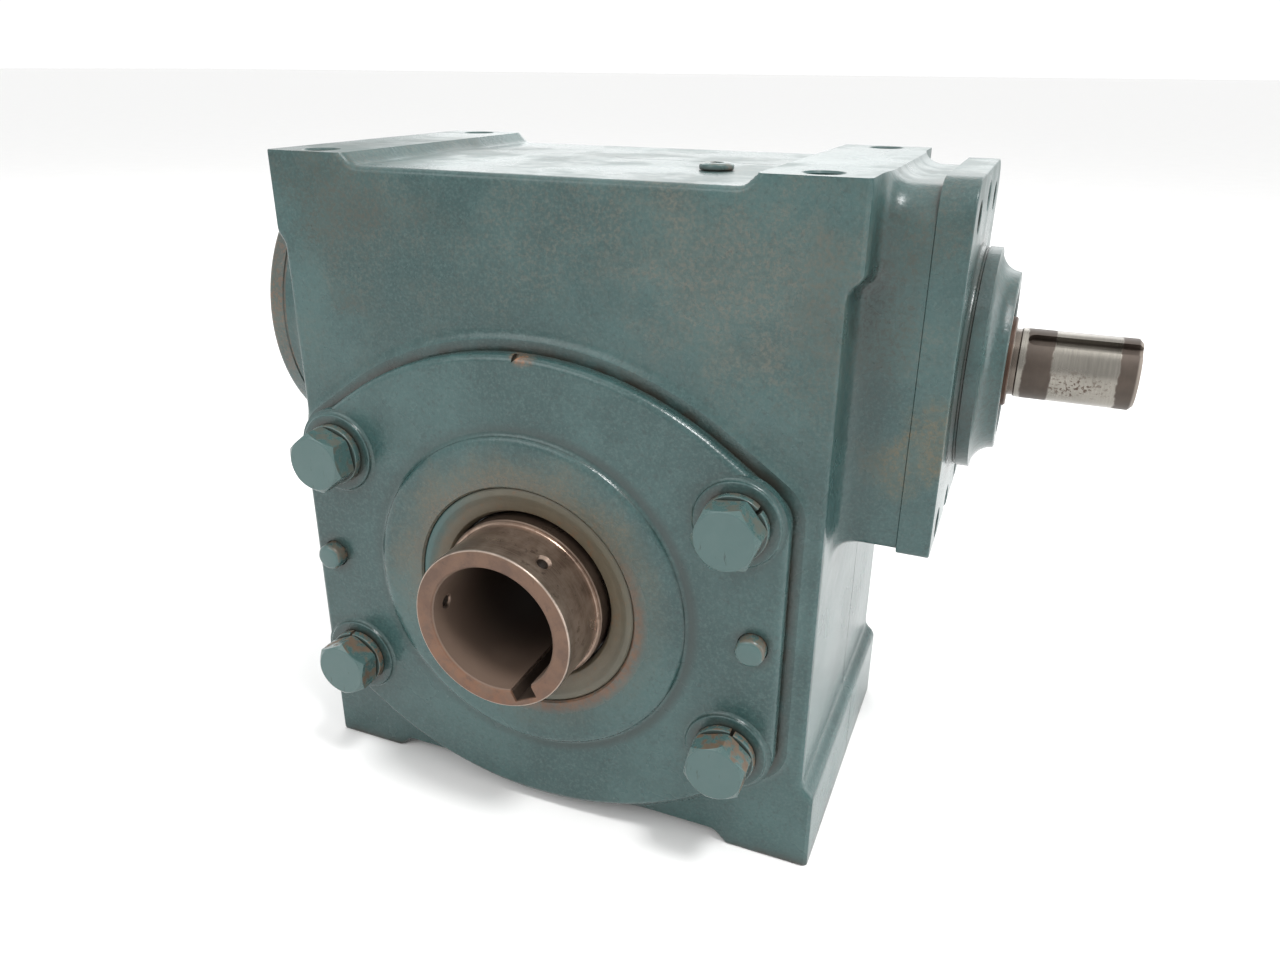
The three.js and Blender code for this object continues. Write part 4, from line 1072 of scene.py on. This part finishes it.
def make_output_shaft():
    end, outside, journal, seat, bore, step = (
        SHAFT[k] for k in ("end", "outside", "journal", "seat", "bore", "step"))
    half = [
        (0, bore), (end - 0.8, bore), (end - 0.2, bore + 0.5), (end, bore + 0.8), (end, outside - 0.8),
        (end - 0.2, outside - 0.3), (end - 0.7, outside), (step + 0.3, outside), (step, outside + 0.2),
        (step - 0.1, journal - 0.4), (step - 0.5, journal), (43.8, journal), (43.4, journal + 0.2),
        (43.4, seat - 0.4), (43, seat), (0, seat),
    ]
    profile = half + [(-a, r) for a, r in reversed(half[1:-1])]
    piece = turned("output_shaft_visual", profile, FINE)
    keyway = spin(box_piece("cut", (15, -110, -4.75), (28.2, 110, 4.75)), 63, "Y")
    cutters = [keyway, box_piece("cut", (-5.3, -20.3, 31.1), (5.3, 20.3, 40))]
    for angle in (57, 177):
        hole = solid_of("cut", [
            (15, 0), (15, 3.4), (bore - 0.1, 2.9), (bore + 0.7, 2.2), (outside - 1.0, 2.2),
            (outside + 0.1, 3.4), (40, 3.6), (40, 0),
        ], along="X", centre=(0, -87.3, 0), segments=40)
        cutters.append(spin(hole, -angle, "Y"))
    return cut(piece, *cutters)


def make_seal(name, side):
    face, back = SEAL["face"], SEAL["back"]
    outer, window, lip = SEAL["outer"], SEAL["window"], SEAL["lip"]
    return turned(name, [
        (side * a, r) for a, r in [
            (face - 2.0, window), (face - 1.6, window + 0.5), (face - 1.0, window + 3.5),
            (face - 0.7, outer - 4.0), (face - 0.1, outer - 2.9), (face, outer - 2.0),
            (face, outer - 0.6), (face - 0.5, outer), (back, outer), (back, window + 1.5),
            (back + 2.5, lip + 0.3), (back + 4.5, lip), (back + 5.2, lip + 0.3), (back + 6.5, window - 0.6),
        ]
    ], FINE)


def make_input_seal():
    return turned("input_seal_visual", [
        (149.2, 18), (149.5, 18.6), (149.6, 22.4), (149.9, 22.9), (149.9, 23.6), (149.5, 24), (141, 24),
        (141, 19), (143.5, 15.5), (145, 15.3), (146, 15.6), (148, 17.2),
    ], 128, "X", (0, 0, CENTRE_DISTANCE))


def make_worm_shaft():
    radius, tip = INPUT_SHAFT["radius"], INPUT_SHAFT["to"]
    start = INPUT_SHAFT["from"]
    centre = (0, 0, CENTRE_DISTANCE)
    root = WORM["root"]
    piece = solid_of("worm_shaft_visual", [
        (-103.5, 0), (-103.5, JOURNAL - 1), (-102.5, JOURNAL), (-89.2, JOURNAL), (-89.2, 17.1),
        (-88.8, 17.5), (-43, 17.5), (-37.5, root + 0.4), (-36.5, root), (36.5, root), (37.5, root + 0.4),
        (43, 17.5), (115.8, 17.5), (116.2, 17.1), (116.2, JOURNAL), (start - 0.5, JOURNAL), (start, JOURNAL - 0.5),
        (start, radius - 0.5), (start + 1.8, radius - 0.5), (start + 2.2, radius), (tip - 1.4, radius),
        (tip - 1.1, radius - 0.2), (tip, radius - 1.3), (tip, 0),
    ], along="X", centre=centre, segments=128)
    join(piece, worm_thread(root))
    half = 2.38
    slot = join(
        box_piece("cut", (158.5, 9.3, CENTRE_DISTANCE - half), (tip + 2, 20, CENTRE_DISTANCE + half)),
        cylinder("cut", half, 9.3, 20, "Y", (158.5, 0, CENTRE_DISTANCE), 32),
    )
    return cut(piece, spin(slot, 122.5, "X", centre))


def worm_thread(root):
    """The single-start thread: a trapezoid with eased edges wound round the worm axis."""
    pitch, turns, worm_radius, steps = WORM["pitch"], WORM["turns"], WORM["radius"], 48
    crest = worm_radius + pitch / math.pi
    slope = math.tan(math.radians(WORM["pressure_angle"]))

    def half_width(r):
        return pitch / 4 - GAP - (r - worm_radius) * slope

    ease = 0.6
    section = [(-half_width(root - 1), root - 1), (-half_width(crest - ease), crest - ease),
               (-half_width(crest) + ease, crest), (half_width(crest) - ease, crest),
               (half_width(crest - ease), crest - ease), (half_width(root - 1), root - 1)]
    rings = int(turns * steps) + 1
    points = []
    for k in range(rings):
        along = (k / (rings - 1) - 0.5) * turns
        angle = 2 * math.pi * along
        points += [(along * pitch + offset, r * math.cos(angle), CENTRE_DISTANCE + r * math.sin(angle))
                   for offset, r in section]
    count = len(section)
    faces = [tuple(range(count)), tuple(range(rings * count - 1, (rings - 1) * count - 1, -1))]
    for k in range(rings - 1):
        for i in range(count):
            n = (i + 1) % count
            faces.append((k * count + i, (k + 1) * count + i, (k + 1) * count + n, k * count + n))
    return tidy_mesh(make_piece("thread", points, faces))


def make_socket_screw(name, seat, direction, head_length, length, y, z):
    """A socket-head screw along X, its head's seat at a distance and its head facing a direction."""
    def at(distance):
        return seat + direction * distance

    core, thread, head = (SOCKET_SCREW[k] for k in ("core", "thread", "head"))
    centre = (0, y, CENTRE_DISTANCE + z)
    piece = solid_of(name, [
        (at(-length), 0), (at(-length), core), (at(-length + 0.7), thread), (at(0), thread),
        (at(0), head - 0.25), (at(0.25), head), (at(head_length - 0.6), head),
        (at(head_length - 0.1), head - 0.35), (at(head_length), head - 0.65), (at(head_length), 0),
    ], along="X", centre=centre, segments=48)
    depth = min(3.5, head_length - 1)
    ends = sorted((at(head_length - depth), at(head_length + 1)))
    key = cylinder("cut", SOCKET_SCREW["key"], *ends, "X", centre, 6)
    return cut(piece, key)


def make_vent_plug():
    seat = FEET["top"] - FEET["height"]
    centre = (VENT["x"], VENT["y"], seat)
    piece = solid_of("vent_plug_visual", [
        (-14, 0), (-14, 3.6), (-13.2, 4.4), (0.3, 4.4), (0.3, 5.7), (0.6, 5.9), (1.5, 5.9), (2.0, 5.6),
        (2.3, 4.9), (2.5, 4.2), (2.5, 0),
    ], along="Z", centre=centre, segments=48)
    return cut(piece, cylinder("cut", 2.6, 0.9, 5, "Z", centre, 6))


def make_pipe_plug(name, x, z):
    piece = solid_of(name, [
        (50, 0), (50, 5.2), (51, 6.0), (61.6, 6.2), (62.3, 5.6), (62.3, 0),
    ], centre=(x, 0, z), segments=48)
    return cut(piece, cylinder("cut", 3.0, 56.3, 65, "Y", (x, 0, z), 6))


def make_floor(material):
    work = bmesh.new()
    bmesh.ops.create_grid(work, x_segments=60, y_segments=60, size=FLOOR_HALF)
    for vertex in work.verts:
        vertex.co.z = -FLOOR_DROP
    mesh = bpy.data.meshes.new("floor")
    work.to_mesh(mesh)
    work.free()
    mesh.materials.append(material)
    floor = bpy.data.objects.new("floor", mesh)
    bpy.context.scene.collection.objects.link(floor)


make_camera()
make_studio()

BODY_PATCHES = [
    ((-77, -63, 136), (26, 12, 26), BROWN, 0.75),
    ((-50, -63, 134), (30, 10, 9), BROWN, 0.45),
    ((-73, -63, 101), (16, 8, 6), BROWN, 0.6),
    ((75, -63, 122), (55, 12, 36), DUST, 0.65),
    ((101, -63, 108), (14, 12, 40), BROWN, 0.5),
    # painted shade and brown staining: the next two patches darken the upper neck beside its fillet
    ((115, -45, 112), (12, 14, 34), BROWN, 0.8),
    ((124, -45, 132), (16, 12, 20), BROWN, 0.5),
    ((137, -45, 72), (18, 10, 16), OCHRE, 0.7),
    ((122, -45, 62), (14, 10, 14), OCHRE, 0.6),
    # painted shade: the next three patches darken the neck's front, the hub's concave sweep and the neck's upper
    # front beside the body
    ((114, -45, 90), (9, 12, 60), DEEP_TEAL_AND_SHADE, 0.45),
    ((145, -24, 86), (12, 30, 50), DEEP_TEAL_AND_SHADE, 0.8),
    ((109, -48, 122), (7, 14, 28), (0.012, 0.02, 0.018), 0.9),
]
PAINT = paint_material("paint_housing", dusty=0.4, patches=BODY_PATCHES)
COVER_PAINT = paint_material("paint_cover", rust_ring_and_boss_shade=True, patches=[
    ((0, -69, 91), (6, 6, 4), RUST, 0.95),
])
BOLT_PAINT = bolt_material("paint_bolts")
CAP_PAINT = paint_material("paint_cap", rust_amount=0.5, dusty=0.6, patches=[
    ((-112, -58, 100), (20, 40, 45), (0.13, 0.075, 0.045), 0.85),
])
OXIDE = oxide_steel("oxide_steel")
GROUND = ground_steel("ground_steel")
BEARING = bearing_steel("bearing_steel")
SCREW = screw_steel("screw_steel")
BRONZE = bronze("bronze")
IRON = raw_iron("raw_iron")
SEAL_FACE = seal_face("seal_face")
RUBBER = rubber("rubber")
GASKET = gasket_paper("gasket_paper")

finished(make_housing(), PAINT, "casing", "paint", weighted=False)
finished(make_front_cover(), COVER_PAINT, "casing", "paint")
finished(make_input_flange(), PAINT, "casing", "paint")
finished(make_end_cap(), CAP_PAINT, "casing", "paint")
finished(make_end_gasket(), CAP_PAINT, "casing", "gasket")
for place_name, (bolt_x, bolt_z, bolt_turn) in BOLTS.items():
    bolt = make_bolt("cover_bolt_" + place_name + "_visual", bolt_x, bolt_z, bolt_turn)
    finished(bolt, BOLT_PAINT, "casing", "bolt_paint")
    washer = make_washer("lock_washer_" + place_name + "_visual", bolt_x, bolt_z, bolt_turn)
    finished(washer, BOLT_PAINT, "casing", "bolt_paint")
for side_name, side in (("left", -1), ("right", 1)):
    finished(make_dowel("dowel_pin_" + side_name + "_visual", side), BOLT_PAINT, "casing", "bolt_paint")
for side_name, side in (("front", -1), ("rear", 1)):
    finished(make_seal("output_seal_" + side_name + "_visual", side), SEAL_FACE, "casing", "seal_rubber")
finished(make_output_shaft(), OXIDE, "output", "oxide_steel")
finished(make_worm_shaft(), GROUND, "worm", "shaft_steel")
finished(make_input_seal(), RUBBER, "casing", "seal_rubber")
finished(make_vent_plug(), BOLT_PAINT, "casing", "bolt_paint")
finished(make_pipe_plug("drain_plug_visual", 0, -PLUG_CIRCLE), BOLT_PAINT, "casing", "bolt_paint")
finished(make_pipe_plug("level_plug_visual", -PLUG_CIRCLE, 0), BOLT_PAINT, "casing", "bolt_paint")
for index, (screw_y, screw_z) in enumerate(flange_screw_places(), 1):
    screw = make_socket_screw("flange_screw_%d_visual" % index, FLANGE["to"] - 7.2, 1, 6, 18,
                              screw_y, screw_z)
    finished(screw, SCREW, "casing", "bearing_steel")
for index, (screw_y, screw_z) in enumerate(end_screw_places(), 1):
    screw = make_socket_screw("end_cap_screw_%d_visual" % index, END_BOSS["cap"] + 4.5, -1, 4.2, 15.8,
                              screw_y, screw_z)
    finished(screw, SCREW, "casing", "bearing_steel")

CAD_FINISHES = {
    "cover_gasket": GASKET, "wheel_hub": IRON, "worm_wheel": BRONZE,
    "wheel_key": BEARING,
}
for node_name, node in frame["nodes"].items():
    material = CAD_FINISHES.get(node_name, BEARING)
    if node.hide_render:
        continue
    node.data.materials.clear()
    node.data.materials.append(material)

make_floor(floor_material("floor"))
